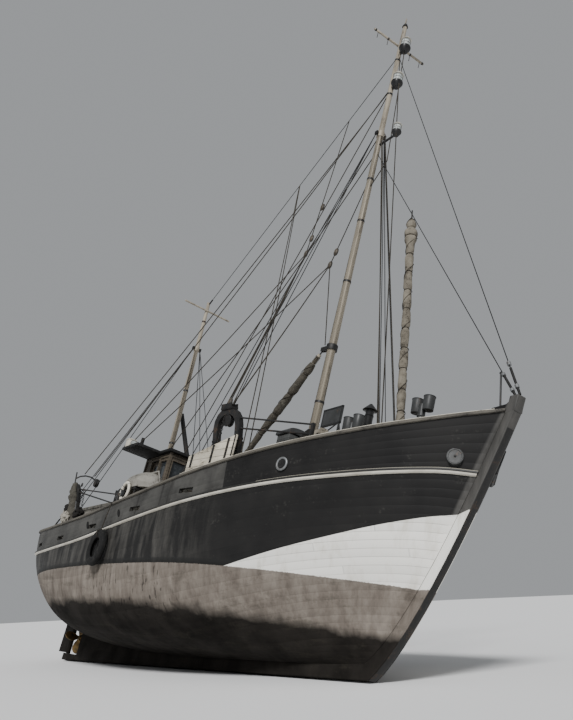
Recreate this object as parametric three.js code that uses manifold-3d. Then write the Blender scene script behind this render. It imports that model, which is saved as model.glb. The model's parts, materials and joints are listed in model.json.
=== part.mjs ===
// Two-masted wooden side trawler, 24 m long, lying aground on her keel and port bilge.
// The boat is drawn upright in her own frame and then turned as she comes to rest:
// millimetres, +X forward from midships, +Y to port, +Z up from the load waterline.

import * as THREE from "three";
import { mergeVertices } from "three/addons/utils/BufferGeometryUtils.js";
import Module from "manifold-3d";

const wasm = await Module();
wasm.setup();

// Rest: heel to port and trim that bring the keel's port edge and the port bilge onto a flat floor.
const HEEL_DEG = 17.1;
const TRIM_DEG = 1.92;
const GAP = 0.4;

// Hull form. Each row is a station: rail point, bilge control point, keel rabbet point and bilge weight.
const STATIONS = [
  { rail: [-12000, 0, 2100], bilge: [-12100, 0, -350], keel: [-9300, -600], full: 1.2 },
  { rail: [-11300, 1550, 1880], bilge: [-11300, 1350, -550], keel: [-8900, -760], full: 1.2 },
  { rail: [-9500, 2450, 1620], bilge: [-9500, 2250, -900], keel: [-8000, -1150], full: 1.1 },
  { rail: [-6500, 2920, 1490], bilge: [-6500, 2850, -1600], keel: [-6300, -1690], full: 1.3 },
  { rail: [-3000, 3080, 1600], bilge: [-3000, 3100, -1850], keel: [-3000, -1880], full: 1.6 },
  { rail: [500, 3100, 1930], bilge: [500, 3120, -1860], keel: [500, -1880], full: 1.7 },
  { rail: [3800, 2980, 2310], bilge: [3700, 2880, -1650], keel: [3500, -1790], full: 1.4 },
  { rail: [6800, 2550, 2700], bilge: [6400, 2150, -1250], keel: [5800, -1710], full: 0.95 },
  { rail: [9200, 1750, 3080], bilge: [8400, 1200, -900], keel: [7300, -1640], full: 0.7 },
  { rail: [10800, 850, 3430], bilge: [9450, 520, -780], keel: [8150, -1580], full: 0.8 },
  { rail: [11680, 120, 3700], bilge: [9880, 120, -720], keel: [8550, -1550], full: 0.9 },
];
const LAST = STATIONS.length - 1;
const STEP_S = 1 / 3;
const SIDE_STEPS = 9;
const KEEL_HALF = 120;
const BREAK_S = 20 / 3;

// Height of the rail above the rub rail, which is also the deck edge, at stern, middle and bow.
const TOPSIDE = [830, 700, 1300];
const BULWARK_T = 100;
const DECK_T = 60;
const CAMBER = 90;
const FOREDECK_DROP = 230;

// Keel, stem and sternpost.
const KEEL_FOOT = { x: 8750, z: -1900 };
const KEEL_HEEL = { x: -9500, z: -2540 };
const STERNPOST_X = -8150;
const RUDDER_X = -9330;
const SOLE_T = 240;
const PROP = { x: -8600, z: -1690, radius: 580 };
const STEM_HEAD = { x: 11990, z: 4060 };

// Masts: foot and head in the centre plane, with the radius at each.
const FOREMAST = { foot: [4260, 1400], head: [4420, 19100], top: [4400, 20150], r: [150, 80] };
const MIZZEN = { foot: [-5120, 2700], head: [-5680, 11800], r: [120, 65] };
const HOUNDS_Z = 15000;
const MIZZEN_HOUNDS_Z = 9650;
const WIRE_R = 13;

// Deckhouse, wheelhouse and what stands on them.
const CASING = { x: [-8700, -1500], half: 1750, top: 2700, wall: 60, floor: 600 };
const HOUSE = { x: [-4100, -2250], half: 1180, top: 4380, wall: 50 };
const HATCH = { x: [2150, 3450], half: 700, rise: 620, wall: 70, floor: -900 };
// Gallows: the arch's foot on the deck, its half width, its height over the foot, the yaw that follows
// the rail and the lean outboard, with the width of its section, its depth and the sheave's radius.
const GALLOWS = [
  { name: "fore_gallows", x: 4650, y: -2430, half: 550, rise: 2220, yaw: 7.5, lean: 12.5, section: [170, 150], sheave: 150 },
  { name: "aft_gallows", x: -5450, y: -2500, half: 410, rise: 2150, yaw: -2, lean: 12.5, section: [120, 130], sheave: 105 },
];
const BOOM = { z: 7150, pinX: 330, reach: 3873, tipZ: 2350, slewDeg: 11.9 };

// Finishes: colour, roughness, metalness.
const FINISH = {
  topside: [0x24262a, 0.6, 0.0],
  bottom: [0x6a615b, 0.8, 0.0],
  deck: [0x8a7c68, 0.85, 0.0],
  rail: [0x8f8878, 0.7, 0.0],
  stripe: [0xd8d2be, 0.6, 0.0],
  spar: [0x9a8a72, 0.55, 0.0],
  wire: [0x4a4845, 0.5, 0.6],
  steel: [0x4b4c4b, 0.6, 0.5],
  black: [0x1f1f20, 0.6, 0.3],
  house: [0x9d9a90, 0.6, 0.0],
  canvas: [0xcfc7b2, 0.9, 0.0],
  board: [0xcdc6b4, 0.8, 0.0],
  bronze: [0x8a6a3c, 0.4, 0.9],
  glass: [0x223038, 0.1, 0.0],
  rubber: [0x1b1b1b, 0.9, 0.0],
  galvanised: [0x8d9092, 0.5, 0.7],
};

// Catmull-Rom through the station table. Past the stern the table is mirrored, past the stem it runs straight on.
const COLUMNS = STATIONS.map((r) => [...r.rail, ...r.bilge, ...r.keel, r.full]);
const MIRRORED = COLUMNS[1].map((v, i) => (i === 1 || i === 4 ? -v : v));
const RUN_ON = COLUMNS[LAST].map((v, i) => 2 * v - COLUMNS[LAST - 1][i]);
function station(s) {
  const i = Math.min(Math.max(Math.floor(s), 0), LAST - 1);
  const t = s - i;
  const [a, b, c, d] = [COLUMNS[i - 1] ?? MIRRORED, COLUMNS[i], COLUMNS[i + 1], COLUMNS[i + 2] ?? RUN_ON];
  return b.map((_, k) => {
    const linear = c[k] - a[k];
    const square = 2 * a[k] - 5 * b[k] + 4 * c[k] - d[k];
    const cubic = 3 * b[k] - a[k] - 3 * c[k] + d[k];
    return 0.5 * (2 * b[k] + linear * t + square * t * t + cubic * t ** 3);
  });
}

// A section is one conic from the keel rabbet (u = 0) to the rail (u = 1).
function skin(s, u) {
  const r = station(s);
  const keel = [r[6], KEEL_HALF * Math.min(1, 2 * s), r[7]];
  const [a, b, c] = [(1 - u) ** 2, 2 * r[8] * u * (1 - u), u * u];
  return [0, 1, 2].map((k) => (a * keel[k] + b * r[3 + k] + c * r[k]) / (a + b + c));
}
function skinAt(s, z) {
  let [low, high] = [0, 1];
  for (let i = 0; i < 40; i += 1) {
    const mid = (low + high) / 2;
    if (skin(s, mid)[2] < z) low = mid;
    else high = mid;
  }
  return (low + high) / 2;
}
const lerp = (a, b, t) => a + (b - a) * t;
function topside(s) {
  const [stern, middle, bow] = TOPSIDE;
  return s < 5 ? lerp(stern, middle, s / 5) : lerp(middle, bow, ((s - 5) / 5) ** 2);
}
const railZ = (s) => skin(s, 1)[2];
const deckZ = (s) => railZ(s) - topside(s);
const edge = (s, z) => skin(s, skinAt(s, z));

// A point of the skin at height z, moved a distance inwards, square to the plan curve.
function inside(s, z, inset) {
  const p = edge(s, z);
  const d = 0.02;
  const fore = edge(Math.min(s + d, LAST), z);
  const aft = s < d ? edge(d, z).map((v, k) => (k === 1 ? -v : v)) : edge(s - d, z);
  const run = new THREE.Vector2(fore[0] - aft[0], fore[1] - aft[1]).normalize();
  return [p[0] + run.y * inset, Math.max(p[1] - run.x * inset, 0), z];
}
function stations(from, to) {
  const list = [];
  for (let s = from; s < to - 1e-6; s = Math.min(to, (Math.floor(s / STEP_S + 1e-6) + 1) * STEP_S)) list.push(s);
  return [...list, to];
}

// Closed solids from rings of points: each ring has the same number of points, and the two end rings are capped.
function loft(rings, closed = false) {
  const flat = [];
  const n = rings[0].length;
  const tri = (a, b, c) => {
    const [p, q, r] = [a, b, c].map((v) => new THREE.Vector3(...v));
    const area = q.clone().sub(p).cross(r.clone().sub(p)).length();
    if (area > 1e-3) flat.push(...a, ...b, ...c);
  };
  const last = closed ? rings.length : rings.length - 1;
  for (let i = 0; i < last; i += 1) {
    const [a, b] = [rings[i], rings[(i + 1) % rings.length]];
    for (let j = 0; j < n; j += 1) {
      const k = (j + 1) % n;
      tri(a[j], a[k], b[j]);
      tri(a[k], b[k], b[j]);
    }
  }
  if (!closed) {
    cap(rings[0]).forEach(([a, b, c]) => tri(a, c, b));
    cap(rings.at(-1)).forEach(([a, b, c]) => tri(a, b, c));
  }
  const g = new THREE.BufferGeometry();
  return g.setAttribute("position", new THREE.Float32BufferAttribute(flat, 3));
}
// Triangles over an end ring, wound as the ring is. The ring is flat enough to be clipped in the Y-Z plane.
function cap(ring) {
  const flat = ring.map(([, y, z]) => new THREE.Vector2(y, z));
  const area = THREE.ShapeUtils.area(flat);
  if (Math.abs(area) < 1) return [];
  const faces = THREE.ShapeUtils.triangulateShape(area > 0 ? flat : [...flat].reverse(), []);
  const pick = (i) => ring[area > 0 ? i : ring.length - 1 - i];
  return faces.map(([a, b, c]) => (area > 0 ? [a, b, c] : [c, b, a]).map(pick));
}

// The same for rings that lie flat, one above the other.
function flatLoft(rings) {
  const tilt = (p) => [p[2], p[0], p[1]];
  const back = loft(rings.map((ring) => ring.map(tilt)));
  const at = back.getAttribute("position");
  for (let i = 0; i < at.count; i += 1) at.setXYZ(i, at.getY(i), at.getZ(i), at.getX(i));
  return back;
}

function solid(geometry) {
  const bare = new THREE.BufferGeometry().setAttribute("position", geometry.getAttribute("position"));
  if (geometry.index) bare.setIndex(geometry.index);
  const merged = mergeVertices(bare, 1e-3);
  const made = new wasm.Manifold(
    new wasm.Mesh({
      numProp: 3,
      vertProperties: new Float32Array(merged.attributes.position.array),
      triVerts: new Uint32Array(merged.index.array),
    }),
  );
  if (made.volume() >= 0) return made;
  const turned = Uint32Array.from(merged.index.array);
  for (let i = 0; i < turned.length; i += 3) [turned[i + 1], turned[i + 2]] = [turned[i + 2], turned[i + 1]];
  return new wasm.Manifold(
    new wasm.Mesh({
      numProp: 3,
      vertProperties: new Float32Array(merged.attributes.position.array),
      triVerts: turned,
    }),
  );
}
function geometryOf(shape) {
  const mesh = shape.getMesh();
  const g = new THREE.BufferGeometry();
  g.setAttribute("position", new THREE.BufferAttribute(new Float32Array(mesh.vertProperties), 3));
  g.setIndex(new THREE.BufferAttribute(new Uint32Array(mesh.triVerts), 1));
  const flat = g.toNonIndexed();
  flat.computeVertexNormals();
  return flat;
}
const join = (...shapes) => shapes.flat().reduce((a, b) => a.add(b));

const block = (x0, x1, y0, y1, z0, z1) =>
  solid(new THREE.BoxGeometry(x1 - x0, y1 - y0, z1 - z0).translate((x0 + x1) / 2, (y0 + y1) / 2, (z0 + z1) / 2));

// A round bar, or a cone, between two points.
function bar(from, to, r0, r1 = r0, sides = 10) {
  const [a, b] = [new THREE.Vector3(...from), new THREE.Vector3(...to)];
  const g = new THREE.CylinderGeometry(r1, r0, a.distanceTo(b), sides);
  const turn = new THREE.Quaternion().setFromUnitVectors(new THREE.Vector3(0, 1, 0), b.clone().sub(a).normalize());
  g.applyQuaternion(turn);
  const mid = a.add(b).multiplyScalar(0.5);
  return solid(g.translate(mid.x, mid.y, mid.z));
}
// A turned piece between two points, from a profile of [share of the length, radius] pairs.
function spindle(from, to, profile, sides = 12) {
  const [a, b] = [new THREE.Vector3(...from), new THREE.Vector3(...to)];
  const long = a.distanceTo(b);
  const points = [[0, 0], ...profile, [1, 0]].map(([t, r]) => new THREE.Vector2(r, t * long));
  const turn = new THREE.Quaternion().setFromUnitVectors(new THREE.Vector3(0, 1, 0), b.sub(a).normalize());
  return solid(new THREE.LatheGeometry(points, sides).applyQuaternion(turn).translate(a.x, a.y, a.z));
}
// A flat plate in the X-Z plane with its outline given as points, from y0 to y1.
function plate(points, y0, y1, holes = []) {
  const shape = new THREE.Shape(points.map(([x, z]) => new THREE.Vector2(x, z)));
  holes.forEach((h) => shape.holes.push(new THREE.Path(h.map(([x, z]) => new THREE.Vector2(x, z)))));
  const g = new THREE.ExtrudeGeometry(shape, { depth: y1 - y0, bevelEnabled: false });
  return solid(g.rotateX(Math.PI / 2).translate(0, y1, 0));
}
// A flat plate in the X-Y plane, from z0 to z1.
function slab(points, z0, z1) {
  const shape = new THREE.Shape(points.map(([x, y]) => new THREE.Vector2(x, y)));
  return solid(new THREE.ExtrudeGeometry(shape, { depth: z1 - z0, bevelEnabled: false }).translate(0, 0, z0));
}
// The same shape leant over to starboard and swung about its own origin, then set down at x, y, z.
function setting(x, y, z, yaw, lean) {
  const turn = new THREE.Matrix4().makeRotationX(THREE.MathUtils.degToRad(lean));
  return turn.premultiply(new THREE.Matrix4().makeRotationZ(THREE.MathUtils.degToRad(yaw))).setPosition(x, y, z);
}
function placed(shape, x, y, z, yaw = 0, lean = 0) {
  return solid(geometryOf(shape).applyMatrix4(setting(x, y, z, yaw, lean)));
}

const boat = new THREE.Group();
const finishes = Object.fromEntries(
  Object.entries(FINISH).map(([name, [color, roughness, metalness]]) => [
    name,
    new THREE.MeshStandardMaterial({ color, roughness, metalness, flatShading: true }),
  ]),
);
function add(name, shape, finish) {
  const mesh = new THREE.Mesh(geometryOf(shape), finishes[finish]);
  mesh.name = name;
  boat.add(mesh);
  return mesh;
}


const flip = ([x, y, z]) => [x, -y, z];
const levels = (from, to, n) => Array.from({ length: n + 1 }, (_, i) => lerp(from, to, i / n));

// Hull below the rub rail, solid, with a flat top under the deck planks.
function sideRing(s, port) {
  return [...port, ...port.map(flip).reverse()];
}
const hullRings = stations(0, LAST).map((s) => {
  const top = skinAt(s, deckZ(s));
  return sideRing(s, levels(0, top, SIDE_STEPS).map((u) => skin(s, u)));
});
const wellFloor = -1150;
const engineWell = block(-6900, -3900, -800, 800, wellFloor, 3000);
const casingSeat = block(CASING.x[0] - GAP, CASING.x[1] + GAP, -CASING.half - GAP, CASING.half + GAP, CASING.floor, 3000);
const holdWell = block(HATCH.x[0], HATCH.x[1], -HATCH.half, HATCH.half, HATCH.floor, 3000);
const rudderTrunk = bar([RUDDER_X, 0, -1200], [RUDDER_X, 0, 150], 100, 100, 16);
const hull = solid(loft(hullRings)).subtract(join(engineWell, casingSeat)).subtract(holdWell).subtract(rudderTrunk);
add("hull", hull, "topside");

// Forecastle: the same skin carried up to the rail, with the foredeck sunk a little below it.
const foredeckZ = (s) => railZ(s) - FOREDECK_DROP;
const narrow = (p) => [p[0], Math.max(p[1], 20), p[2]];
const forecastleRings = stations(BREAK_S, LAST).map((s) => {
  const outer = levels(deckZ(s) + GAP, railZ(s), 4).map((z) => edge(s, z));
  const inner = [railZ(s), foredeckZ(s)].map((z) => narrow(inside(s, z, BULWARK_T)));
  return sideRing(s, [...outer, ...inner]);
});
add("forecastle", solid(loft(forecastleRings)), "topside");

// Bulwark round the stern, from the break of the forecastle on one side to the other.
const BULWARK_END = BREAK_S - 0.001;
function round(end, ringAt) {
  const port = stations(0, end).map(ringAt);
  return [...port.slice(1).reverse().map((ring) => ring.map(flip)), ...port];
}
const bulwarkRings = round(BULWARK_END, (s) => {
  const z = levels(deckZ(s) + GAP, railZ(s), 3);
  return [...z.map((h) => edge(s, h)), ...z.reverse().map((h) => inside(s, h, BULWARK_T))];
});
const freeing = [-8.2, -5.2, -2.2, 0.8, 3.6];
const ports = freeing.map((x) => {
  const z = deckAt(x * 1000) + 60;
  return block(x * 1000 - 330, x * 1000 + 330, -4000, 4000, z, z + 130);
});
const bulwark = solid(loft(bulwarkRings)).subtract(join(ports));
const halfSpace = (side) => block(-13000, 8000, ...(side > 0 ? [-GAP / 2, 4000] : [-4000, GAP / 2]), -1000, 5000);
add("bulwark_port", bulwark.subtract(halfSpace(-1)), "topside");
add("bulwark_starboard", bulwark.subtract(halfSpace(1)), "topside");

// Cap over the bulwark, and the rub rail at deck height.
const capRings = round(LAST, (s) => {
  const z = railZ(s) + 4;
  const corner = (inset, h) => {
    const p = inside(s, railZ(s), inset);
    return [p[0], s > 5 ? Math.max(p[1], 20) : p[1], z + h];
  };
  return [corner(-55, 0), corner(-55, 70), corner(BULWARK_T + 55, 70), corner(BULWARK_T + 55, 0)];
});
add("rail_cap", solid(loft(capRings)), "rail");
const rubRings = round(LAST, (s) => {
  const z = deckZ(s);
  return [[-3, -60], [-66, -45], [-66, 45], [-3, 60]].map(([inset, h]) => {
    const p = inside(s, z + h, inset);
    return [p[0], p[1], z + h];
  });
});
add("rub_rail", solid(loft(rubRings)), "stripe");

// Deck planking with its camber.
function deckRow(s, z, rise) {
  const half = inside(s, z, BULWARK_T + 4);
  const y = Math.max(half[1], s > 5 ? 10 : 0);
  const camber = (CAMBER * y) / 3000;
  const across = levels(-1, 1, 6).map((t) => [half[0], t * y, z + rise + DECK_T + camber * (1 - t * t)]);
  return [[half[0], y, z + rise], [half[0], -y, z + rise], ...across];
}
function deckAt(x, y = 0) {
  let [low, high] = [0, LAST];
  for (let i = 0; i < 40; i += 1) {
    const mid = (low + high) / 2;
    if (edge(mid, deckZ(mid))[0] < x) low = mid;
    else high = mid;
  }
  const half = edge(low, deckZ(low))[1];
  return deckZ(low) + DECK_T + ((CAMBER * half) / 3000) * (1 - (y / half) ** 2);
}
function foredeckAt(x, y = 0) {
  let [low, high] = [BREAK_S, LAST];
  for (let i = 0; i < 40; i += 1) {
    const mid = (low + high) / 2;
    if (edge(mid, foredeckZ(mid))[0] < x) low = mid;
    else high = mid;
  }
  const half = edge(low, foredeckZ(low))[1];
  return foredeckZ(low) + DECK_T + ((CAMBER * half) / 3000) * (1 - (y / half) ** 2);
}
const mainRows = stations(0, BULWARK_END - 0.001);
const foreRows = stations(BREAK_S, LAST - 0.25);
const deckSolid = (rows, level, rise) => solid(loft(rows.map((s) => deckRow(s, level(s), rise))));
const mainDeck = deckSolid(mainRows, deckZ, GAP)
  .subtract(casingSeat)
  .subtract(holdWell);
add("main_deck", mainDeck, "deck");
add("foredeck", deckSolid(foreRows, foredeckZ, GAP), "deck");

// Everything that stands on a deck reaches down into it, and is trimmed to the planks by these blanks.
const blankOf = (rows, level) => {
  const rings = rows.map((s) => {
    const row = deckRow(s, level(s), GAP * 2);
    return row.map(([x, y, z], i) => [x, y, i < 2 ? z - 900 : z]);
  });
  return solid(loft(rings));
};
const mainBlank = blankOf(mainRows, deckZ);
const foreBlank = blankOf(foreRows, foredeckZ);
const onMain = (shape) => shape.subtract(mainBlank);
const onFore = (shape) => shape.subtract(foreBlank);

// Backbone: keel, stem, deadwood, sternpost, horn timber and the sole under the rudder, all 240 mm thick.
const rabbet = stations(0, LAST)
  .map((s) => [station(s)[6], station(s)[7]])
  .filter(([x]) => x > RUDDER_X + 110)
  .reverse();
const bowEdge = [...hullRings.at(-1).slice(0, SIDE_STEPS + 1), ...forecastleRings.at(-1).slice(1, 5)];
const stemInner = bowEdge.reverse().map(([x, , z]) => [x + 2 * GAP, z]);
const stemCurve = [[KEEL_FOOT.x, KEEL_FOOT.z], [10120, -830], [11940, 3760]];
const stemOuter = levels(0, 1, 12).map((u) => {
  const w = [(1 - u) ** 2, 1.8 * u * (1 - u), u * u];
  const sum = w[0] + w[1] + w[2];
  return [0, 1].map((k) => (w[0] * stemCurve[0][k] + w[1] * stemCurve[1][k] + w[2] * stemCurve[2][k]) / sum);
});
const soleTop = KEEL_HEEL.z + SOLE_T;
const horn = rabbet
  .filter(([x]) => x < STERNPOST_X)
  .map(([x, z]) => [x, z - 160])
  .reverse();
const backbone = [
  [KEEL_HEEL.x, KEEL_HEEL.z],
  ...stemOuter,
  [STEM_HEAD.x, STEM_HEAD.z],
  [STEM_HEAD.x - 240, STEM_HEAD.z],
  [stemInner[0][0] + 30, stemInner[0][1] + 90],
  ...stemInner.slice(0, -1),
  ...rabbet.map(([x, z]) => [x, z - 3 * GAP]),
  ...horn,
  [STERNPOST_X, horn.at(-1)[1] - 60],
  [STERNPOST_X, soleTop],
  [KEEL_HEEL.x, soleTop],
];
add("backbone", plate(backbone, -KEEL_HALF, KEEL_HALF), "bottom");

// Rudder with its stock, and the propeller with its shaft end.
const bladeTop = -870;
const rudderBlade = slab(
  [[RUDDER_X, -70], [RUDDER_X, 70], [RUDDER_X - 980, 22], [RUDDER_X - 980, -22]],
  soleTop + 35,
  bladeTop,
);
const stock = bar([RUDDER_X, 0, soleTop + 8], [RUDDER_X, 0, 60], 85, 85, 14);
add("rudder", join(rudderBlade, stock), "bottom");

function propeller() {
  const hub = bar([PROP.x - 190, 0, PROP.z], [PROP.x + 190, 0, PROP.z], 70, 115, 14);
  const shaft = bar([PROP.x + 180, 0, PROP.z], [STERNPOST_X - 10, 0, PROP.z], 55, 55, 12);
  const blades = [0, 1, 2, 3].map((i) => {
    const shape = new THREE.Shape();
    shape.moveTo(-60, 60);
    shape.bezierCurveTo(-250, 260, -240, 520, -20, PROP.radius);
    shape.bezierCurveTo(200, 560, 230, 300, 60, 60);
    const g = new THREE.ExtrudeGeometry(shape, { depth: 26, bevelEnabled: false, curveSegments: 5 });
    g.translate(0, 0, -13).rotateX(Math.PI / 2).rotateZ(0.6 + Math.PI / 2).rotateX((i * Math.PI) / 2);
    return solid(g.translate(PROP.x, 0, PROP.z));
  });
  return join(hub, shaft, ...blades);
}
add("propeller", propeller(), "bronze");

// Engine: one plain block on its bearers in the engine well.
add("engine_block", block(-6500, -4200, -480, 480, wellFloor + GAP, wellFloor + 1500), "steel");

// Engine casing: a hollow deckhouse with portlights, a door aft and a skylight in its top.
const [cx0, cx1] = CASING.x;
const skylight = { x: [-8350, -7250], half: 450 };
const casingDoor = { y: [-380, 380], z: [980, 2500] };
const portlights = [-7600, -6200, -2400].map((x) => block(x - 230, x + 230, -2000, 2000, 1900, 2280));
const skyHole = block(...skylight.x, -skylight.half, skylight.half, 2000, 3200);
const skyRim = 70;
const skyBox = block(
  skylight.x[0] - skyRim, skylight.x[1] + skyRim,
  -skylight.half - skyRim, skylight.half + skyRim,
  CASING.top - 5, CASING.top + 160,
);
const casing = block(cx0, cx1, -CASING.half, CASING.half, CASING.floor + GAP, CASING.top)
  .subtract(block(cx0 + 60, cx1 - 60, 60 - CASING.half, CASING.half - 60, 0, CASING.top - CASING.wall))
  .subtract(join(portlights))
  .subtract(block(cx0 - 50, cx0 + 150, ...casingDoor.y, ...casingDoor.z))
  .add(skyBox)
  .subtract(skyHole);
add("engine_casing", casing, "house");
const [dy0, dy1, dz0, dz1] = [casingDoor.y[0] + 8, casingDoor.y[1] - 8, casingDoor.z[0] + 8, casingDoor.z[1] - 8];
add("casing_door", block(cx0 + 6, cx0 + 46, dy0, dy1, dz0, dz1), "house");
const lidZ = CASING.top + 168;
for (const [name, y0, y1] of [["port", 8, 515], ["starboard", -515, -8]]) {
  add("skylight_lid_" + name, block(skylight.x[0] - 60, skylight.x[1] + 60, y0, y1, lidZ, lidZ + 40), "house");
}

// Wheelhouse: walls with their windows cut, the front glass, two doors that slide aft inside the
// walls, and the roof with its wings.
const base = CASING.top + GAP;
const [hx0, hx1] = HOUSE.x;
const [sill, head] = [3400, 4120];
const doorX = [-3620, -3020];
const doorZ = [base + 40, 4200];
const frontPanes = [-740, 0, 740].map((y) => [y - 320, y + 320]);
const sidePane = [-2860, -2400];
const holes = [
  ...frontPanes.map(([a, b]) => block(hx1 - 100, hx1 + 100, a, b, sill, head)),
  block(...sidePane, -2000, 2000, sill, head),
  block(hx0 - 100, hx0 + 100, -300, 300, sill, head),
  block(...doorX, -2000, 2000, ...doorZ),
];
const room = block(hx0 + HOUSE.wall, hx1 - HOUSE.wall, HOUSE.wall - HOUSE.half, HOUSE.half - HOUSE.wall, 0, 5000);
const walls = block(hx0, hx1, -HOUSE.half, HOUSE.half, base, HOUSE.top).subtract(room).subtract(join(holes));
add("wheelhouse", walls, "house");
const glassX = hx1 - HOUSE.wall - 1;
add("front_glass", block(glassX - 8, glassX, frontPanes[0][0] - 30, frontPanes[2][1] + 30, sill - 30, head + 30), "glass");
const doorOut = HOUSE.half - HOUSE.wall - 6;
for (const [name, y0, y1] of [["port", doorOut - 40, doorOut], ["starboard", -doorOut, 40 - doorOut]]) {
  const leaf = block(doorX[0] - 20, doorX[1] + 20, y0, y1, base + 12, doorZ[1] + 15);
  const light = block(doorX[0] + 120, doorX[1] - 120, -3000, 3000, sill, 4050);
  add("wheelhouse_door_" + name, leaf.subtract(light), "house");
}
const roofZ = HOUSE.top + GAP;
const wing = { x: [-4200, -2900], half: 2200 };
const roof = slab(
  [
    [-2080, -1330], [-2080, 1330], [wing.x[1], 1330], [wing.x[1], wing.half], [wing.x[0], wing.half],
    [wing.x[0], -wing.half], [wing.x[1], -wing.half], [wing.x[1], -1330],
  ],
  roofZ,
  roofZ + 90,
);
const lightY = 2010;
const sidelights = [1, -1].flatMap((side) => [
  block(-4180, -3880, side * lightY - 130, side * lightY + 130, roofZ + 85, roofZ + 400),
  bar([-3890, side * lightY, roofZ + 245], [-3780, side * lightY, roofZ + 245], 110, 110, 12),
]);
const stub = bar([-3560, -1800, roofZ + 80], [-3560, -1800, roofZ + 480], 62, 62, 10);
add("wheelhouse_roof", join(roof, ...sidelights, stub), "black");

// Steering wheel on its post, behind the middle window.
const rimX = -2870;
const axleZ = base + 820;
const rim = solid(new THREE.TorusGeometry(330, 24, 6, 18).rotateY(Math.PI / 2).translate(rimX, 0, axleZ));
const spokes = levels(0, 2, 2).map((i) => {
  const [y, z] = [Math.cos((i * Math.PI) / 3) * 420, Math.sin((i * Math.PI) / 3) * 420];
  return bar([rimX, -y, axleZ - z], [rimX, y, axleZ + z], 15, 15, 6);
});
const post = bar([-2740, 0, base], [-2740, 0, axleZ + 60], 70, 50, 8);
add("helm", join(rim, post, bar([rimX - 30, 0, axleZ], [-2740, 0, axleZ], 45, 45, 8), ...spokes), "spar");

// Exhaust stack: stands on the casing to port and leans in to the mizzen.
const stack = [[-5750, 1150, base + 3], [-5750, 1100, 5150], [-5620, 185, 6950]];
const knee = solid(new THREE.SphereGeometry(97, 10, 8).translate(...stack[1]));
add("exhaust_stack", join(bar(stack[0], stack[1], 95, 95, 10), knee, bar(stack[1], stack[2], 95, 85, 10)), "black");

// Upturned dinghy to starboard of the wheelhouse, on skids from the casing to the side deck.
const dinghy = { x: -2500, y: -1720, half: 1300, beam: 500, depth: 640, z: CASING.top + 110 };
const dinghyRings = levels(-1, 1, 8).map((t) => {
  const half = 40 + (dinghy.beam - 40) * (1 - Math.abs(t) ** 2.6);
  const rise = 120 + (dinghy.depth - 120) * (1 - Math.abs(t) ** 3.5);
  return levels(0, Math.PI, 8).map((a) => [
    dinghy.x + t * dinghy.half,
    dinghy.y + half * Math.cos(a),
    dinghy.z + rise * Math.sin(a) ** 0.7,
  ]);
});
add("dinghy", solid(loft(dinghyRings)), "canvas");
const skidY = -2180;
const skids = [-3450, -1950].flatMap((x) => [
  block(x - 45, x + 45, skidY - 45, -1240, base, dinghy.z - GAP),
  bar([x, skidY, 700], [x, skidY, dinghy.z - 40], 40, 40, 8),
]);
const skidRail = block(-3500, -1900, skidY - 40, skidY + 40, base + 10, dinghy.z - 30);
add("dinghy_skids", onMain(join(...skids, skidRail)), "steel");

// Masts with their crossbars and lanterns.
const at = ([x0, z0], [x1, z1], z) => x0 + ((x1 - x0) * (z - z0)) / (z1 - z0);
const foreX = (z) => at(FOREMAST.foot, FOREMAST.head, z);
const mizzenX = (z) => at(MIZZEN.foot, MIZZEN.head, z);
const foreSpar = bar([foreX(900), 0, 900], [foreX(19100), 0, 19100], FOREMAST.r[0], FOREMAST.r[1], 16);
const pole = bar([foreX(19000), 0, 19000], [FOREMAST.top[0], 0, FOREMAST.top[1]], 42, 22, 10);
const hounds = bar([foreX(14900), 0, 14900], [foreX(15120), 0, 15120], 125, 125, 12);
const foreBar = bar([foreX(18900) - 90, -1120, 18900], [foreX(18900) - 90, 1120, 18900], 42, 42, 10);
add("foremast", onMain(join(foreSpar, pole, hounds, foreBar)), "spar");
const mizzenSpar = bar([mizzenX(base), 0, base + 9], [mizzenX(11800), 0, 11800], MIZZEN.r[0], MIZZEN.r[1], 14);
const mizzenBand = bar([mizzenX(9550), 0, 9550], [mizzenX(9750), 0, 9750], 105, 105, 12);
const mizzenBar = bar([mizzenX(11400) + 70, -1040, 11400], [mizzenX(11400) + 70, 1040, 11400], 36, 36, 10);
const mizzen = join(mizzenSpar, mizzenBand, mizzenBar).subtract(block(-6000, -4000, -500, 500, 2000, base));
add("mizzen_mast", mizzen, "spar");
const lanterns = [["masthead_lantern", 18400, 280], ["upper_lantern", 16850, 280], ["steaming_lantern", 14500, 900]];
for (const [name, z, reach] of lanterns) {
  const x = foreX(z) + reach;
  const rings = [[0, 0], [90, 0], [165, 130], [165, 180], [130, 190], [130, 430], [170, 440], [60, 540], [0, 545]];
  const lamp = solid(new THREE.LatheGeometry(rings.map(([r, h]) => new THREE.Vector2(r, h)), 12).rotateX(Math.PI / 2));
  const arm = block(foreX(z) + 125, x, -40, 40, z + 20, z + 90);
  add(name, join(placed(lamp, x, 0, z), arm), "black");
}

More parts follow.
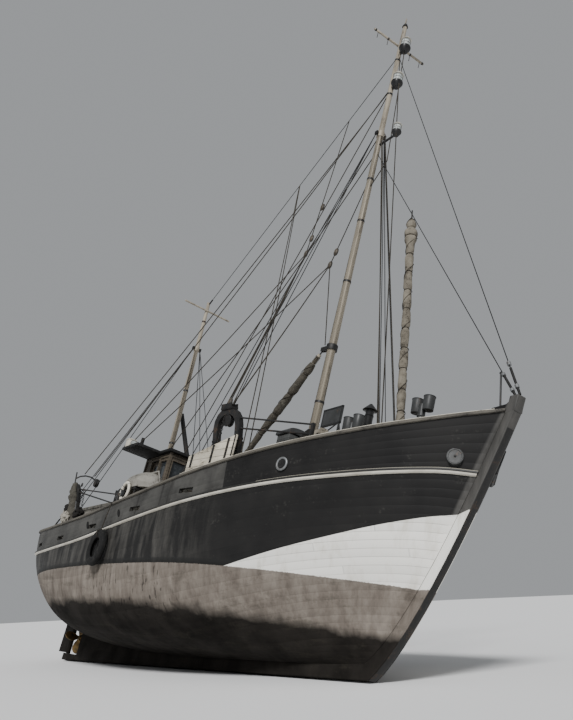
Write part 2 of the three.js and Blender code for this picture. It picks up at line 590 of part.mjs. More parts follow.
// Standing rigging. Each side's shrouds share a bar along the rail and a lug at the mast.
const stationAt = (x, z) => {
  let [low, high] = [0, LAST];
  for (let i = 0; i < 40; i += 1) {
    const mid = (low + high) / 2;
    if (edge(mid, z)[0] < x) low = mid;
    else high = mid;
  }
  return low;
};
const railAt = (x) => {
  let [low, high] = [0, LAST];
  for (let i = 0; i < 40; i += 1) {
    const mid = (low + high) / 2;
    if (skin(mid, 1)[0] < x) low = mid;
    else high = mid;
  }
  return skin(low, 1);
};
function shrouds(name, mastX, z, band, feet, side) {
  const lug = [mastX, side * (band + 45), z];
  const low = feet.map((x) => {
    const [, y, railTop] = railAt(x);
    return [x, side * (y - 105), railTop + 110];
  });
  const wires = low.map((foot) => bar(foot, lug, WIRE_R, WIRE_R, 6));
  const screws = low.map((foot) => {
    const up = foot.map((v, k) => lerp(v, lug[k], 0.04));
    return bar(foot, up, 26, 26, 6);
  });
  const shelf = bar(low[0], low.at(-1), 24, 24, 6);
  const eye = block(mastX - 60, mastX + 60, ...[side * (band + 12), side * (band + 75)].sort((a, b) => a - b), z - 60, z + 60);
  add(name, join(shelf, eye, ...wires, ...screws), "wire");
}
for (const [name, side, feet] of [["port", 1, [4350, 4750, 5300]], ["starboard", -1, [2900, 3400, 3900]]]) {
  shrouds("fore_shrouds_" + name, foreX(HOUNDS_Z), HOUNDS_Z, 125, feet, side);
  shrouds("mizzen_shrouds_" + name, mizzenX(MIZZEN_HOUNDS_Z), MIZZEN_HOUNDS_Z, 105, [-4740, -6040, -7080], side);
}
function stay(name, from, to, screw) {
  const knuckle = to.map((v, k) => lerp(v, from[k], screw));
  add(name, join(bar(from, to, WIRE_R, WIRE_R, 6), bar(knuckle, to, 30, 30, 8)), "wire");
}
const stemTop = STEM_HEAD.z + 35;
stay("topmast_stay", [foreX(18250) + 98, 0, 18250], [11920, 0, stemTop], 0.05);
stay("forestay", [foreX(14150) + 115, 0, 14150], [11800, 0, stemTop], 0.06);
stay("triatic_stay", [foreX(18350) - 96, 0, 18350], [mizzenX(11720) + 96, 0, 11720], 0.02);

// Staysail furled in its canvas, hanging from the forestay to the foredeck.
const sailFoot = [8330, 0, foredeckAt(8330) + 60];
const sailHead = [6990, 0, 10560];
const furl = [[0, 60], [0.04, 118], [0.86, 128], [0.905, 175], [0.94, 160], [0.955, 85], [0.97, 130], [1, 60]];
add("furled_staysail", spindle(sailFoot, sailHead, furl), "canvas");

// Boom with its sail furled along it, its end let down abaft the hatch. It slews on a collar round the mast.
const collarIn = 136;
const collarOut = 172;
const collarHalf = 90;
const collarProfile = [[collarIn, -collarHalf], [collarOut, -collarHalf], [collarOut, collarHalf], [collarIn, collarHalf], [collarIn, -collarHalf]];
const collar = solid(new THREE.LatheGeometry(collarProfile.map(([r, h]) => new THREE.Vector2(r, h)), 20).rotateX(Math.PI / 2));
const cheek = (y) => plate([[-160, -80], [-160, 80], [-400, 60], [-400, -60]], y - 13, y + 13);
const pin = bar([-BOOM.pinX, -58, 0], [-BOOM.pinX, 58, 0], 18, 18, 12);
const jawX = foreX(BOOM.z);
add("gooseneck", placed(join(collar, cheek(-46), cheek(46), pin), jawX, 0, BOOM.z, BOOM.slewDeg), "steel");
const drop = BOOM.tipZ - BOOM.z;
const along = (t) => [-lerp(BOOM.pinX, BOOM.reach, t), 0, drop * t];
const eye = bar([-BOOM.pinX, -26, 0], [-BOOM.pinX, 26, 0], 60, 60, 16);
const boomProfile = [[0, 62], [0.09, 62], [0.1, 130], [0.5, 120], [0.86, 75], [0.87, 55], [1, 48]];
const boomParts = [eye, bar(along(0), along(0.05), 24, 24, 8), spindle(along(0.03), along(1), boomProfile, 12)];
const pinHole = bar([-BOOM.pinX, -80, 0], [-BOOM.pinX, 80, 0], 24, 24, 12);
add("boom", placed(join(...boomParts).subtract(pinHole), jawX, 0, BOOM.z, BOOM.slewDeg), "canvas");

// Fish hatch: coaming let into the deck, and its cover hinged at the after edge.
const hatchTop = deckAt((HATCH.x[0] + HATCH.x[1]) / 2) + HATCH.rise;
const coamingOut = HATCH.half + HATCH.wall;
const coamingBox = block(HATCH.x[0] - HATCH.wall, HATCH.x[1] + HATCH.wall, -coamingOut, coamingOut, 900, hatchTop)
  .subtract(block(HATCH.x[0], HATCH.x[1], -HATCH.half, HATCH.half, 0, 4000));
add("hatch_coaming", onMain(coamingBox), "house");
add("hatch_cover", block(HATCH.x[0] - 90, HATCH.x[1] + 90, -HATCH.half - 90, HATCH.half + 90, hatchTop + 6, hatchTop + 66), "deck");

// Trawl winch before the wheelhouse.
const WINCH = { x: -650, z: 1830, half: 1150 };
const cheeks = [-WINCH.half, -120, 120, WINCH.half].map((y) =>
  plate([[WINCH.x - 420, 850], [WINCH.x + 420, 850], [WINCH.x + 130, WINCH.z + 150], [WINCH.x - 130, WINCH.z + 150]], y - 30, y + 30));
const winchBase = block(WINCH.x - 420, WINCH.x + 420, -WINCH.half - 30, WINCH.half + 30, 850, deckAt(WINCH.x) + 70);
const bearing = bar([WINCH.x, -2000, WINCH.z], [WINCH.x, 2000, WINCH.z], 66, 66, 14);
add("winch_frame", onMain(join(winchBase, ...cheeks).subtract(bearing)), "steel");
const drum = (y0, y1) => [
  bar([WINCH.x, y0, WINCH.z], [WINCH.x, y1, WINCH.z], 190, 190, 16),
  bar([WINCH.x, y0, WINCH.z], [WINCH.x, y0 + 30, WINCH.z], 400, 400, 20),
  bar([WINCH.x, y1 - 30, WINCH.z], [WINCH.x, y1, WINCH.z], 400, 400, 20),
];
const winchShaft = bar([WINCH.x, -1600, WINCH.z], [WINCH.x, 1600, WINCH.z], 58, 58, 14);
const heads = [-1, 1].map((k) => bar([WINCH.x, k * 1230, WINCH.z], [WINCH.x, k * 1570, WINCH.z], 120, 170, 14));
add("winch_drums", join(winchShaft, ...drum(-1060, -210), ...drum(210, 1060), ...heads), "steel");

// Windlass on the foredeck.
const LASS = { x: 8950, half: 420 };
const lassZ = foredeckAt(LASS.x) + 420;
const lassCheeks = [-LASS.half, LASS.half].map((y) =>
  plate([[LASS.x - 300, lassZ - 700], [LASS.x + 300, lassZ - 700], [LASS.x + 110, lassZ + 130], [LASS.x - 110, lassZ + 130]], y - 35, y + 35));
const lassBase = block(LASS.x - 300, LASS.x + 300, -LASS.half - 35, LASS.half + 35, lassZ - 700, foredeckAt(LASS.x) + 60);
const lassBore = bar([LASS.x, -900, lassZ], [LASS.x, 900, lassZ], 56, 56, 14);
add("windlass_frame", onFore(join(lassBase, ...lassCheeks).subtract(lassBore)), "steel");
const lassDrum = [
  bar([LASS.x, -760, lassZ], [LASS.x, 760, lassZ], 48, 48, 14),
  bar([LASS.x, -370, lassZ], [LASS.x, 370, lassZ], 150, 150, 14),
  bar([LASS.x, -740, lassZ], [LASS.x, -480, lassZ], 140, 100, 14),
  bar([LASS.x, 480, lassZ], [LASS.x, 740, lassZ], 100, 140, 14),
];
add("windlass_barrel", join(...lassDrum), "steel");

// Gallows: an arch of heavy section inside the starboard rail, with its sheave and two stay rods.
// A rod is given by its start in the arch, as distance forward and height, and its end on the boat.
function gallows({ x, y, half, rise, yaw, lean, section: [wide, deep], sheave }, rods, extra) {
  const foot = deckAt(x);
  const spring = rise - half * 0.9;
  const arc = (r, drop) => levels(0, Math.PI, 8).map((a) => [-r * Math.cos(a), spring + (half * 0.9 - drop) * Math.sin(a)]);
  const below = -260;
  const points = [
    [-half, below], ...arc(half, 0), [half, below],
    [half - wide, below], ...arc(half - wide, wide).reverse(), [wide - half, below],
  ];
  const wheelZ = rise - wide - sheave - 10;
  const wheel = bar([0, -60, wheelZ], [0, 60, wheelZ], sheave, sheave, 14);
  const hanger = block(-40, 40, -40, 40, wheelZ, rise - wide / 2);
  const move = setting(x, y, foot, yaw, lean);
  const frame = placed(join(plate(points, -deep / 2, deep / 2), wheel, hanger), x, y, foot, yaw, lean);
  const bars = rods.map(([[along, up], end]) => {
    const start = new THREE.Vector3(along, 0, up).applyMatrix4(move).toArray();
    return bar(start, end, 24, 24, 6);
  });
  return join(frame, ...bars, ...extra);
}
const [foreG, aftG] = GALLOWS;
const braceEnd = railAt(7800);
const braceTop = braceEnd[2] + 92;
const braceY = -braceEnd[1] + 60;
const braceFoot = block(7760, 7840, braceY - 40, braceY + 40, braceTop, braceTop + 360);
const foreRods = [[[400, 1925], [7800, braceY, braceTop + 330]], [[465, 1640], [7800, braceY, braceTop + 90]]];
add(foreG.name, onMain(gallows(foreG, foreRods, [braceFoot])), "steel");
const postX = -1600;
const postY = -2790;
const aftPost = bar([postX, postY, deckAt(postX) - 200], [postX, postY, 2340], 45, 45, 8);
const aftRods = [[[310, 1930], [postX, postY, 2290]], [[330, 1830], [postX, postY, 1980]]];
add(aftG.name, onMain(gallows(aftG, aftRods, [aftPost])), "steel");

// Cod end of the net, hung up to dry inside the after gallows and leaning with it.
const net = [[0, 120], [0.2, 195], [0.5, 180], [0.8, 120], [1, 60]];
const bundle = placed(spindle([0, 0, -150], [0, 0, 1700], net, 10), aftG.x, aftG.y, deckAt(aftG.x), aftG.yaw, aftG.lean);
add("net_bundle", onMain(bundle), "black");

// Otter board stood on the starboard rail outside the fore gallows.
const BOARD_X = [3330, 5330];
const boardFoot = BOARD_X.map((x) => [x - BOARD_X[0], railAt(x)[2] + 84]);
const boardShape = [...boardFoot, [2000, 3200], [0, 2800]];
add("otter_board", placed(plate(boardShape, -30, 30), BOARD_X[0], -3005, 0, 6), "board");

// Forecastle companion: four walls with a hood that slides aft off them.
const COMP = { x: [5900, 6450], y: [-1990, -1390], top: 3370 };
const compBox = block(...COMP.x, ...COMP.y, 2000, COMP.top);
const compRoom = block(COMP.x[0] + 40, COMP.x[1] - 40, COMP.y[0] + 40, COMP.y[1] - 40, 1900, 4000);
add("companion", onFore(compBox.subtract(compRoom)), "house");
const hoodMid = (COMP.y[0] + COMP.y[1]) / 2;
const hoodHalf = (COMP.y[1] - COMP.y[0]) / 2 + 50;
const hoodArc = levels(0, Math.PI, 8).map((a) => [hoodMid + hoodHalf * Math.cos(a), COMP.top + 70 + 110 * Math.sin(a)]);
const hoodRings = [COMP.x[0] - 40, COMP.x[1] + 40].map((x) =>
  [[hoodMid + hoodHalf, COMP.top + 8], ...hoodArc, [hoodMid - hoodHalf, COMP.top + 8]].map(([y, z]) => [x, y, z]));
add("companion_hood", solid(loft(hoodRings)), "house");

// Nets and canvas heaped on the foredeck.
const heapRings = levels(0, 1, 6).map((t) => {
  const r = Math.cos(t * 1.35) ** 0.8;
  return levels(0, 2 * Math.PI * (11 / 12), 11).map((a) => [
    lerp(7520, 7120, t) + 800 * r * Math.cos(a),
    -1700 + 370 * r * Math.sin(a),
    2450 + 1040 * t,
  ]);
});
const heap = heapRings.slice(1).map((ring, i) => solid(flatLoft([heapRings[i], ring])));
add("net_heap", onFore(join(...heap)), "canvas");

// Blank board on its legs.
const BOARD = { x: [6170, 6990], y: -960, z: [3935, 4425] };
const boardLegs = BOARD.x.map((x, i) => bar([x + (i ? -60 : 60), BOARD.y, 2300], [x + (i ? -60 : 60), BOARD.y, 4400], 26, 26, 8));
const boardStay = bar([6930, BOARD.y, 3950], [6930, -420, 2300], 20, 20, 8);
add("sign_board", onFore(join(block(...BOARD.x, BOARD.y - 20, BOARD.y + 20, ...BOARD.z), ...boardLegs, boardStay)), "board");

// Twin-headed ventilators and the galley funnel on the foredeck.
for (const [name, x, y, top] of [["vent_aft", 8230, -1430, 3690], ["vent_fore", 9970, -900, 4040]]) {
  const heads = [-190, 190].map((d) => bar([x + d, y, top - 335], [x + d, y, top], 125, 135, 14));
  const cross = bar([x - 190, y, top - 200], [x + 190, y, top - 200], 60, 60, 8);
  add(name, onFore(join(bar([x, y, 2400], [x, y, top - 160], 85, 85, 12), cross, ...heads)), "steel");
}
const funnel = [bar([8170, -980, 2400], [8170, -980, 4060], 100, 100, 12), bar([8170, -980, 4040], [8170, -980, 4210], 190, 30, 12)];
add("galley_funnel", onFore(join(...funnel)), "black");

// Life ring on the skid rail, and a tyre hung over the side as a fender.
const ring = solid(new THREE.TorusGeometry(285, 60, 8, 20).rotateX(Math.PI / 2).translate(-2450, -2292, 2650));
add("life_ring", ring, "canvas");
const FENDER = { x: -880, z: 440, r: [395, 145] };
const fenderY = -edge(stationAt(FENDER.x, deckAt(FENDER.x)), deckAt(FENDER.x))[1] - FENDER.r[1] - 8;
const tyre = solid(new THREE.TorusGeometry(...FENDER.r, 8, 20).rotateX(Math.PI / 2).translate(FENDER.x, fenderY, FENDER.z));
const [, fenderRailY, fenderRailZ] = railAt(FENDER.x);
const lanyard = bar([FENDER.x, fenderY, FENDER.z + FENDER.r[0]], [FENDER.x, -fenderRailY - 75, fenderRailZ + 60], 14, 14, 6);
add("tyre_fender", join(tyre, lanyard), "rubber");

// Stockless anchor hove up snug against the port bow, its flukes turned up along the planking.
const offBow = (x, z, off) => [x, edge(stationAt(x, z), z)[1] + off, z];
const anchor = [
  bar(offBow(10790, 2600, 120), offBow(10730, 3360, 90), 45, 32, 8),
  bar(offBow(10560, 2560, 120), offBow(11050, 2640, 120), 60, 60, 8),
  bar(offBow(10600, 2580, 120), offBow(10520, 2990, 140), 75, 22, 8),
  bar(offBow(11030, 2640, 120), offBow(11110, 3040, 140), 75, 22, 8),
];
add("anchor", join(...anchor), "steel");

// The boat comes to rest heeled over and trimmed, her lowest point on the floor.
boat.rotation.set(THREE.MathUtils.degToRad(-HEEL_DEG), THREE.MathUtils.degToRad(TRIM_DEG), 0, "YXZ");
const assembly = new THREE.Group();
assembly.add(boat);
assembly.updateMatrixWorld(true);
const bounds = new THREE.Box3().setFromObject(assembly, true);
const centre = bounds.getCenter(new THREE.Vector3());
boat.position.set(-centre.x, -centre.y, -bounds.min.z);
export default assembly;
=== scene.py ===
# %% [markdown]
# A wooden side trawler lies aground at low water, on her keel and her port bilge.
# Her solids come packed from the CAD step and stay where they are. This file gives
# every surface its finish, and remakes the forms that need more than flat facets:
# planking, spars, rigging, canvas and the small fittings.

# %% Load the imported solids
import json
import math
from functools import partial

import bpy
import numpy as np
from mathutils import Matrix, Vector, noise


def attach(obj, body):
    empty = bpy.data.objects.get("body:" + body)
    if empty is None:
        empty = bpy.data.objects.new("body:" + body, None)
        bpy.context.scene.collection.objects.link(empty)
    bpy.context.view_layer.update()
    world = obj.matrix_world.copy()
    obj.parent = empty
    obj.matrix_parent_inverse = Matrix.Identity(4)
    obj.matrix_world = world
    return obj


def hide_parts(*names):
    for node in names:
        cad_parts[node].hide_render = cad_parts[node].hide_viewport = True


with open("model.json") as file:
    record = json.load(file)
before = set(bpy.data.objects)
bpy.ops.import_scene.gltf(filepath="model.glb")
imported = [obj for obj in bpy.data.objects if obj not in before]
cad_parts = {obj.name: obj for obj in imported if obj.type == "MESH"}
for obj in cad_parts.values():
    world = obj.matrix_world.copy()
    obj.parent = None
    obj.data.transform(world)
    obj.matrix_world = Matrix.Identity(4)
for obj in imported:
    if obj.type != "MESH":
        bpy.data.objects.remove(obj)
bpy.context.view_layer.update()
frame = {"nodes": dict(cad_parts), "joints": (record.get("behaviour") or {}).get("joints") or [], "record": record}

# %% [markdown]
# A shipwright measures from the load waterline, with the boat upright. She lies
# heeled and trimmed, so every piece is modelled upright in metres (x forward from
# midships, y to port, z up from the waterline), and then its mesh is turned once
# by the same matrix. The rudder's pivot is known in both frames and ties them.

# %% The boat's own frame
HEEL = math.radians(17.1)
TRIM = math.radians(1.92)
RUDDER_PIVOT = Vector((-9.33, 0.0, -1.5))
turned = Matrix.Rotation(TRIM, 4, "Y") @ Matrix.Rotation(-HEEL, 4, "X")
pivot = next(j for j in frame["joints"] if j["name"] == "rudder_swing")["pos_m"]
BOAT = Matrix.Translation(Vector(pivot) - turned @ RUDDER_PIVOT) @ turned
UPRIGHT = BOAT.inverted()
print("midships at", (BOAT @ Vector()).to_tuple(3))

# %% [markdown]
# The camera stood low on the beach off the starboard bow, looking up and aft. Its
# place, its aim and its tilt were worked out from the sheer, the rub rail, the
# waterline and the masts, and are written in the boat's own frame.

# %% Camera
CAMERA_AT = Vector((23.823, -12.173, -3.349))
CAMERA_AIM = Vector((-0.80498, 0.44518, 0.39219))
CAMERA_UP = Vector((0.21851, -0.39211, 0.89359))
FOCAL_PX, FRAME_H = 861.4, 720
camera = bpy.data.objects.new("camera", bpy.data.cameras.new("camera"))
bpy.context.scene.collection.objects.link(camera)
back = (turned.to_3x3() @ -CAMERA_AIM).normalized()
up = turned.to_3x3() @ CAMERA_UP
right = up.cross(back).normalized()
up = back.cross(right)
look = Matrix((right, up, back)).transposed().to_4x4()
look.translation = BOAT @ CAMERA_AT
camera.matrix_world = look
camera.data.sensor_width = 36.0
camera.data.lens = FOCAL_PX / FRAME_H * 36.0
camera.data.clip_end = 500
bpy.context.scene.camera = camera
print("camera at", look.translation.to_tuple(2), "lens", round(camera.data.lens, 1))

# %% [markdown]
# The floor is pale and plain, and lies at the height that she rests on. A broad
# soft sun comes over the beach from the camera's right, as on the day, and a light
# grey sky fills the shade.

# %% Floor, sun and sky
bpy.ops.mesh.primitive_plane_add(size=400, location=(0, 0, -0.002))
floor = bpy.context.object
floor.name = "floor"
sun_lamp = bpy.data.lights.new("sun", "SUN")
sun_lamp.energy = 3.6
sun_lamp.angle = math.radians(14)
sun = bpy.data.objects.new("sun", sun_lamp)
bpy.context.scene.collection.objects.link(sun)
SUN_FROM = Vector((0.62, -0.62, 0.75))
sun.rotation_euler = SUN_FROM.to_track_quat("Z", "Y").to_euler()
sky = bpy.data.worlds.new("sky")
bpy.context.scene.world = sky
sky.use_nodes = True
sky_light = sky.node_tree.nodes["Background"]
sky_light.inputs["Color"].default_value = (0.62, 0.64, 0.66, 1)
sky_light.inputs["Strength"].default_value = 0.55
print("floor, sun and sky are in")

# %% [markdown]
# Colours are chosen as sRGB hex values, the way a paint card gives them, and one
# function turns them to the linear values that the renderer works in. A second
# small function adds a node with its settings and links. Each finish gets it with
# its own node tree already filled in, under the short name `put`.

# %% Colour and node helpers
def paint(card):
    channels = [int(card[i : i + 2], 16) / 255 for i in (1, 3, 5)]
    return [c / 12.92 if c <= 0.04045 else ((c + 0.055) / 1.055) ** 2.4 for c in channels] + [1.0]


def add(tree, kind, *inputs, named=None, **settings):
    kind, _, choice = kind.partition(":")
    made = tree.nodes.new("ShaderNode" + kind)
    if choice:
        settings["data_type" if kind == "Mix" else "operation"] = choice
    for key, value in settings.items():
        setattr(made, key, value)
    sockets = [socket for socket in made.inputs if socket.enabled]
    by_name = [(made.inputs[key], value) for key, value in (named or {}).items()]
    for socket, value in [*zip(sockets, inputs), *by_name]:
        if isinstance(value, bpy.types.NodeSocket):
            tree.links.new(value, socket)
        else:
            socket.default_value = value
    return next(socket for socket in made.outputs if socket.enabled)


def new_finish(name):
    made = bpy.data.materials.new(name)
    made.use_nodes = True
    tree = made.node_tree
    return made, partial(add, tree), tree.nodes["Principled BSDF"]


print("black topside paint in linear:", [round(c, 3) for c in paint("#22262A")])

# %% [markdown]
# Paint follows the boat and not the floor: the bottom colour stops at her own
# waterline though she lies heeled. A Mapping node turns Object coordinates back
# into the boat's frame, so that its z is the height over the waterline in metres.

# %% Boat coordinates for the materials
def boat_coordinates(put):
    place = put("TexCoord").node.outputs["Object"]
    return put("Mapping", place, UPRIGHT.translation, UPRIGHT.to_euler("XYZ"))


def dress(put, shader, colour, roughness, height=None, depth=0.01, strength=0.5):
    for name, value in (("Base Color", colour), ("Roughness", roughness)):
        if isinstance(value, bpy.types.NodeSocket):
            shader.id_data.links.new(value, shader.inputs[name])
        else:
            shader.inputs[name].default_value = value
    if height is not None:
        bump = put("Bump", named={"Height": height, "Distance": depth, "Strength": strength})
        shader.id_data.links.new(bump, shader.inputs["Normal"])


print("waterline passes through", (BOAT @ Vector((11, 0, 0))).to_tuple(2))

# %% [markdown]
# Her lines are a short table of stations. Each one has its rail point, the point
# that pulls the bilge out, its keel point and how hard it pulls. A curve through
# the stations and a conic within each give the skin anywhere.

# %% The hull's lines
LINES = np.array(
    [  # rail x, y, z; bilge x, y, z; keel x, z; fullness
        [-12.0, 0, 2.1, -12.1, 0, -0.35, -9.3, -0.6, 1.2],
        [-11.3, 1.55, 1.88, -11.3, 1.35, -0.55, -8.9, -0.76, 1.2],
        [-9.5, 2.45, 1.62, -9.5, 2.25, -0.9, -8.0, -1.15, 1.1],
        [-6.5, 2.92, 1.49, -6.5, 2.85, -1.6, -6.3, -1.69, 1.3],
        [-3.0, 3.08, 1.6, -3.0, 3.1, -1.85, -3.0, -1.88, 1.6],
        [0.5, 3.1, 1.93, 0.5, 3.12, -1.86, 0.5, -1.88, 1.7],
        [3.8, 2.98, 2.31, 3.7, 2.88, -1.65, 3.5, -1.79, 1.4],
        [6.8, 2.55, 2.7, 6.4, 2.15, -1.25, 5.8, -1.71, 0.95],
        [9.2, 1.75, 3.08, 8.4, 1.2, -0.9, 7.3, -1.64, 0.7],
        [10.8, 0.85, 3.43, 9.45, 0.52, -0.78, 8.15, -1.58, 0.8],
        [11.68, 0.12, 3.7, 9.88, 0.12, -0.72, 8.55, -1.55, 0.9],
    ]
)
LAST = len(LINES) - 1
KEEL_HALF = 0.12
# Height of the rail above the deck edge at stern, middle and bow
STERN_SIDE, MIDDLE_SIDE, BOW_SIDE = 0.83, 0.70, 1.30
ASTERN = LINES[1] * [1, -1, 1, 1, -1, 1, 1, 1, 1]
AHEAD = 2 * LINES[LAST] - LINES[LAST - 1]
TABLE = np.vstack([ASTERN, LINES, AHEAD])
print("stations:", LAST + 1)

# %% [markdown]
# Between two stations every value runs on a smooth curve through its neighbours. At
# a station the side is one conic from the keel to the rail, so two numbers reach any
# point of the skin: s along the boat, in stations, and u up the side.

# %% Any point of the skin
def station(s):
    i = min(max(int(math.floor(s)), 0), LAST - 1)
    t = s - i
    a, b, c, d = TABLE[i : i + 4]
    return 0.5 * (2 * b + (c - a) * t + (2 * a - 5 * b + 4 * c - d) * t**2 + (3 * b - a - 3 * c + d) * t**3)


def skin(s, u):
    r = station(s)
    keel = np.array([r[6], KEEL_HALF * min(1, 2 * s), r[7]])
    a, b, c = (1 - u) ** 2, 2 * r[8] * u * (1 - u), u * u
    return (a * keel + b * r[3:6] + c * r[0:3]) / (a + b + c)


def skin_share(s, z):
    low, high = 0.0, 1.0
    for _ in range(30):
        middle = (low + high) / 2
        low, high = (middle, high) if skin(s, middle)[2] < z else (low, middle)
    return (low + high) / 2


print("skin amidships:", skin(LAST / 2, 0.5).round(2))

# %% [markdown]
# Decks, rails and bulwarks follow the skin at a known height, so the rest of the
# file asks for heights. `inside` steps inboard from the skin by a plank's thickness.

# %% Heights along the side
def topside_height(s):
    if s < 5:
        return STERN_SIDE + (MIDDLE_SIDE - STERN_SIDE) * s / 5
    return MIDDLE_SIDE + (BOW_SIDE - MIDDLE_SIDE) * ((s - 5) / 5) ** 2


def rail_z(s):
    return skin(s, 1)[2]


def deck_z(s):
    return rail_z(s) - topside_height(s)


def edge(s, z):
    return skin(s, skin_share(s, z))


def inside(s, z, inset):
    here, step = edge(s, z), 0.02
    fore = edge(min(s + step, LAST), z)
    aft = edge(step, z) * [1, -1, 1] if s < step else edge(s - step, z)
    run = fore[:2] - aft[:2]
    run /= max(np.hypot(*run), 1e-9)
    return np.array([here[0] + run[1] * inset, max(here[1] - run[0] * inset, 0), z])


print("rail at the stem:", skin(LAST, 1).round(2))

# %% [markdown]
# Most fittings of a working boat are bars, plates, rings and balls. Four helpers add
# those primitives between real corners or along a real axis, and settle their place
# into the mesh at once, so every object stays at the origin.

# %% Simple forms
def select_only(*objects):
    if bpy.context.object and bpy.context.object.mode == "EDIT":
        bpy.ops.object.mode_set(mode="OBJECT")
    bpy.ops.object.select_all(action="DESELECT")
    for obj in objects:
        obj.select_set(True)
    bpy.context.view_layer.objects.active = objects[0]


def along(a, b):
    a, b = Vector(a), Vector(b)
    return Matrix.Translation((a + b) / 2) @ (b - a).to_track_quat("Z", "Y").to_matrix().to_4x4()


def settle(matrix):
    obj = bpy.context.object
    obj.data.transform(matrix)
    obj.matrix_world = Matrix()
    return obj


def rod(a, b, r0, r1=None, sides=10):
    length = (Vector(b) - Vector(a)).length
    far = r0 if r1 is None else r1
    bpy.ops.mesh.primitive_cone_add(vertices=sides, radius1=r0, radius2=far, depth=length)
    return settle(along(a, b))


def slab(low, high, turn=0.0):
    bpy.ops.mesh.primitive_cube_add(size=1)
    low, high = Vector(low), Vector(high)
    spread = Matrix.Diagonal(high - low).to_4x4()
    turned_by = Matrix.Rotation(math.radians(turn), 4, "Z")
    return settle(Matrix.Translation((low + high) / 2) @ turned_by @ spread)


def hoop(centre, axis, major, minor, around=28, sides=8):
    bpy.ops.mesh.primitive_torus_add(
        major_radius=major, minor_radius=minor, major_segments=around, minor_segments=sides
    )
    turn = Vector(axis).to_track_quat("Z", "Y").to_matrix().to_4x4()
    return settle(Matrix.Translation(centre) @ turn)


def ball(centre, radius, stretch=(1, 1, 1), rings=10):
    bpy.ops.mesh.primitive_uv_sphere_add(segments=rings * 2, ring_count=rings, radius=radius)
    return settle(Matrix.Translation(centre) @ Matrix.Diagonal(stretch).to_4x4())


print("forms: rod, slab, hoop and ball")

# %% [markdown]
# Curved skins are laid: a grid primitive gets one vertex for each point of a table of
# rows, and its UV map if a pattern has to follow it. Then doubles are merged, holes
# are closed and the normals are made to point outwards. The other helpers apply a
# modifier at once, because the export wants finished meshes.

# %% Grids, cuts and worn edges
def laid(points, uv=None):
    points = np.asarray(points, float)
    rows, columns = points.shape[:2]
    bpy.ops.mesh.primitive_grid_add(x_subdivisions=columns - 1, y_subdivisions=rows - 1, size=2)
    mesh = bpy.context.object.data
    flat = np.empty(len(mesh.vertices) * 3)
    mesh.vertices.foreach_get("co", flat)
    spot = flat.reshape(-1, 3)[:, :2] * 0.5 + 0.5
    column = np.rint(spot[:, 0] * (columns - 1)).astype(int)
    row = np.rint(spot[:, 1] * (rows - 1)).astype(int)
    mesh.vertices.foreach_set("co", points[row, column].ravel())
    if uv is not None:
        corner = np.empty(len(mesh.loops), int)
        mesh.loops.foreach_get("vertex_index", corner)
        mesh.uv_layers.active.data.foreach_set("uv", uv[row[corner], column[corner]].ravel())
    return bpy.context.object


def tidy(obj, close=True, merge=0.0005):
    select_only(obj)
    bpy.ops.object.mode_set(mode="EDIT")
    bpy.ops.mesh.select_all(action="SELECT")
    bpy.ops.mesh.remove_doubles(threshold=merge)
    bpy.ops.mesh.dissolve_degenerate(threshold=merge)
    if close:
        bpy.ops.mesh.select_all(action="SELECT")
        bpy.ops.mesh.fill_holes(sides=0)
    bpy.ops.mesh.select_all(action="SELECT")
    bpy.ops.mesh.normals_make_consistent(inside=False)
    bpy.ops.object.mode_set(mode="OBJECT")
    return obj


def apply(obj, kind, **settings):
    select_only(obj)
    made = obj.modifiers.new(kind.lower(), kind)
    for key, value in settings.items():
        setattr(made, key, value)
    bpy.ops.object.modifier_apply(modifier=made.name)
    return obj


def carve(obj, cutter):
    apply(obj, "BOOLEAN", operation="DIFFERENCE", object=cutter, solver="EXACT")
    bpy.data.objects.remove(cutter)
    return obj


def wear(obj, width, segments=2, angle=30):
    return apply(
        obj, "BEVEL", width=width, segments=segments, limit_method="ANGLE", angle_limit=math.radians(angle)
    )


def coat(obj, material):
    obj.data.materials.clear()
    obj.data.materials.append(material)
    return obj


def coated(material, parts):
    return [coat(part, material) for part in parts]


print("modifiers are applied as they are made")

# %% [markdown]
# `piece` joins its parts, softens the edges as wear and paint do, turns the mesh to
# where she lies and hangs it on its body. `remade` does the same with a cleaned copy
# of a CAD solid and the trim that goes on it, and takes that solid's place.

# %% Pieces on their bodies
def piece(name, parts, material, body="boat", bevel=0.0, stands_for=(), slot=None, smooth=35):
    parts = [parts] if isinstance(parts, bpy.types.Object) else list(parts)
    for part in parts:
        if not part.data.materials:
            coat(part, material)
    select_only(*parts)
    if len(parts) > 1:
        bpy.ops.object.join()
    obj = bpy.context.object
    obj.name = obj.data.name = name
    if bevel:
        wear(obj, bevel)
    select_only(obj)
    bpy.ops.object.shade_smooth_by_angle(angle=math.radians(smooth))
    obj.data.transform(BOAT)
    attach(obj, body)
    if stands_for:
        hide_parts(*stands_for)
    return obj


BODIES = frame["record"]["behaviour"]["bodies"]
BODY_OF = {node: body for body, nodes in BODIES.items() for node in nodes}
SLOT_OF = {row["node"]: row["material_slot"] for row in frame["record"]["subparts"]}


def copy_of(node):
    source = frame["nodes"][node]
    made = bpy.data.objects.new(node + "_copy", source.data.copy())
    bpy.context.scene.collection.objects.link(made)
    made.data.transform(UPRIGHT @ source.matrix_world)
    made.data.materials.clear()
    tidy(made, close=False, merge=0.0002)
    bpy.ops.object.mode_set(mode="EDIT")
    bpy.ops.mesh.select_all(action="SELECT")
    bpy.ops.mesh.dissolve_limited(angle_limit=math.radians(1))
    bpy.ops.object.mode_set(mode="OBJECT")
    return made


def finished(node, parts, material, smooth=35):
    name, body, slot = node + "_finished", BODY_OF[node], SLOT_OF[node]
    return piece(name, parts, material, body, stands_for=[node], slot=slot, smooth=smooth)


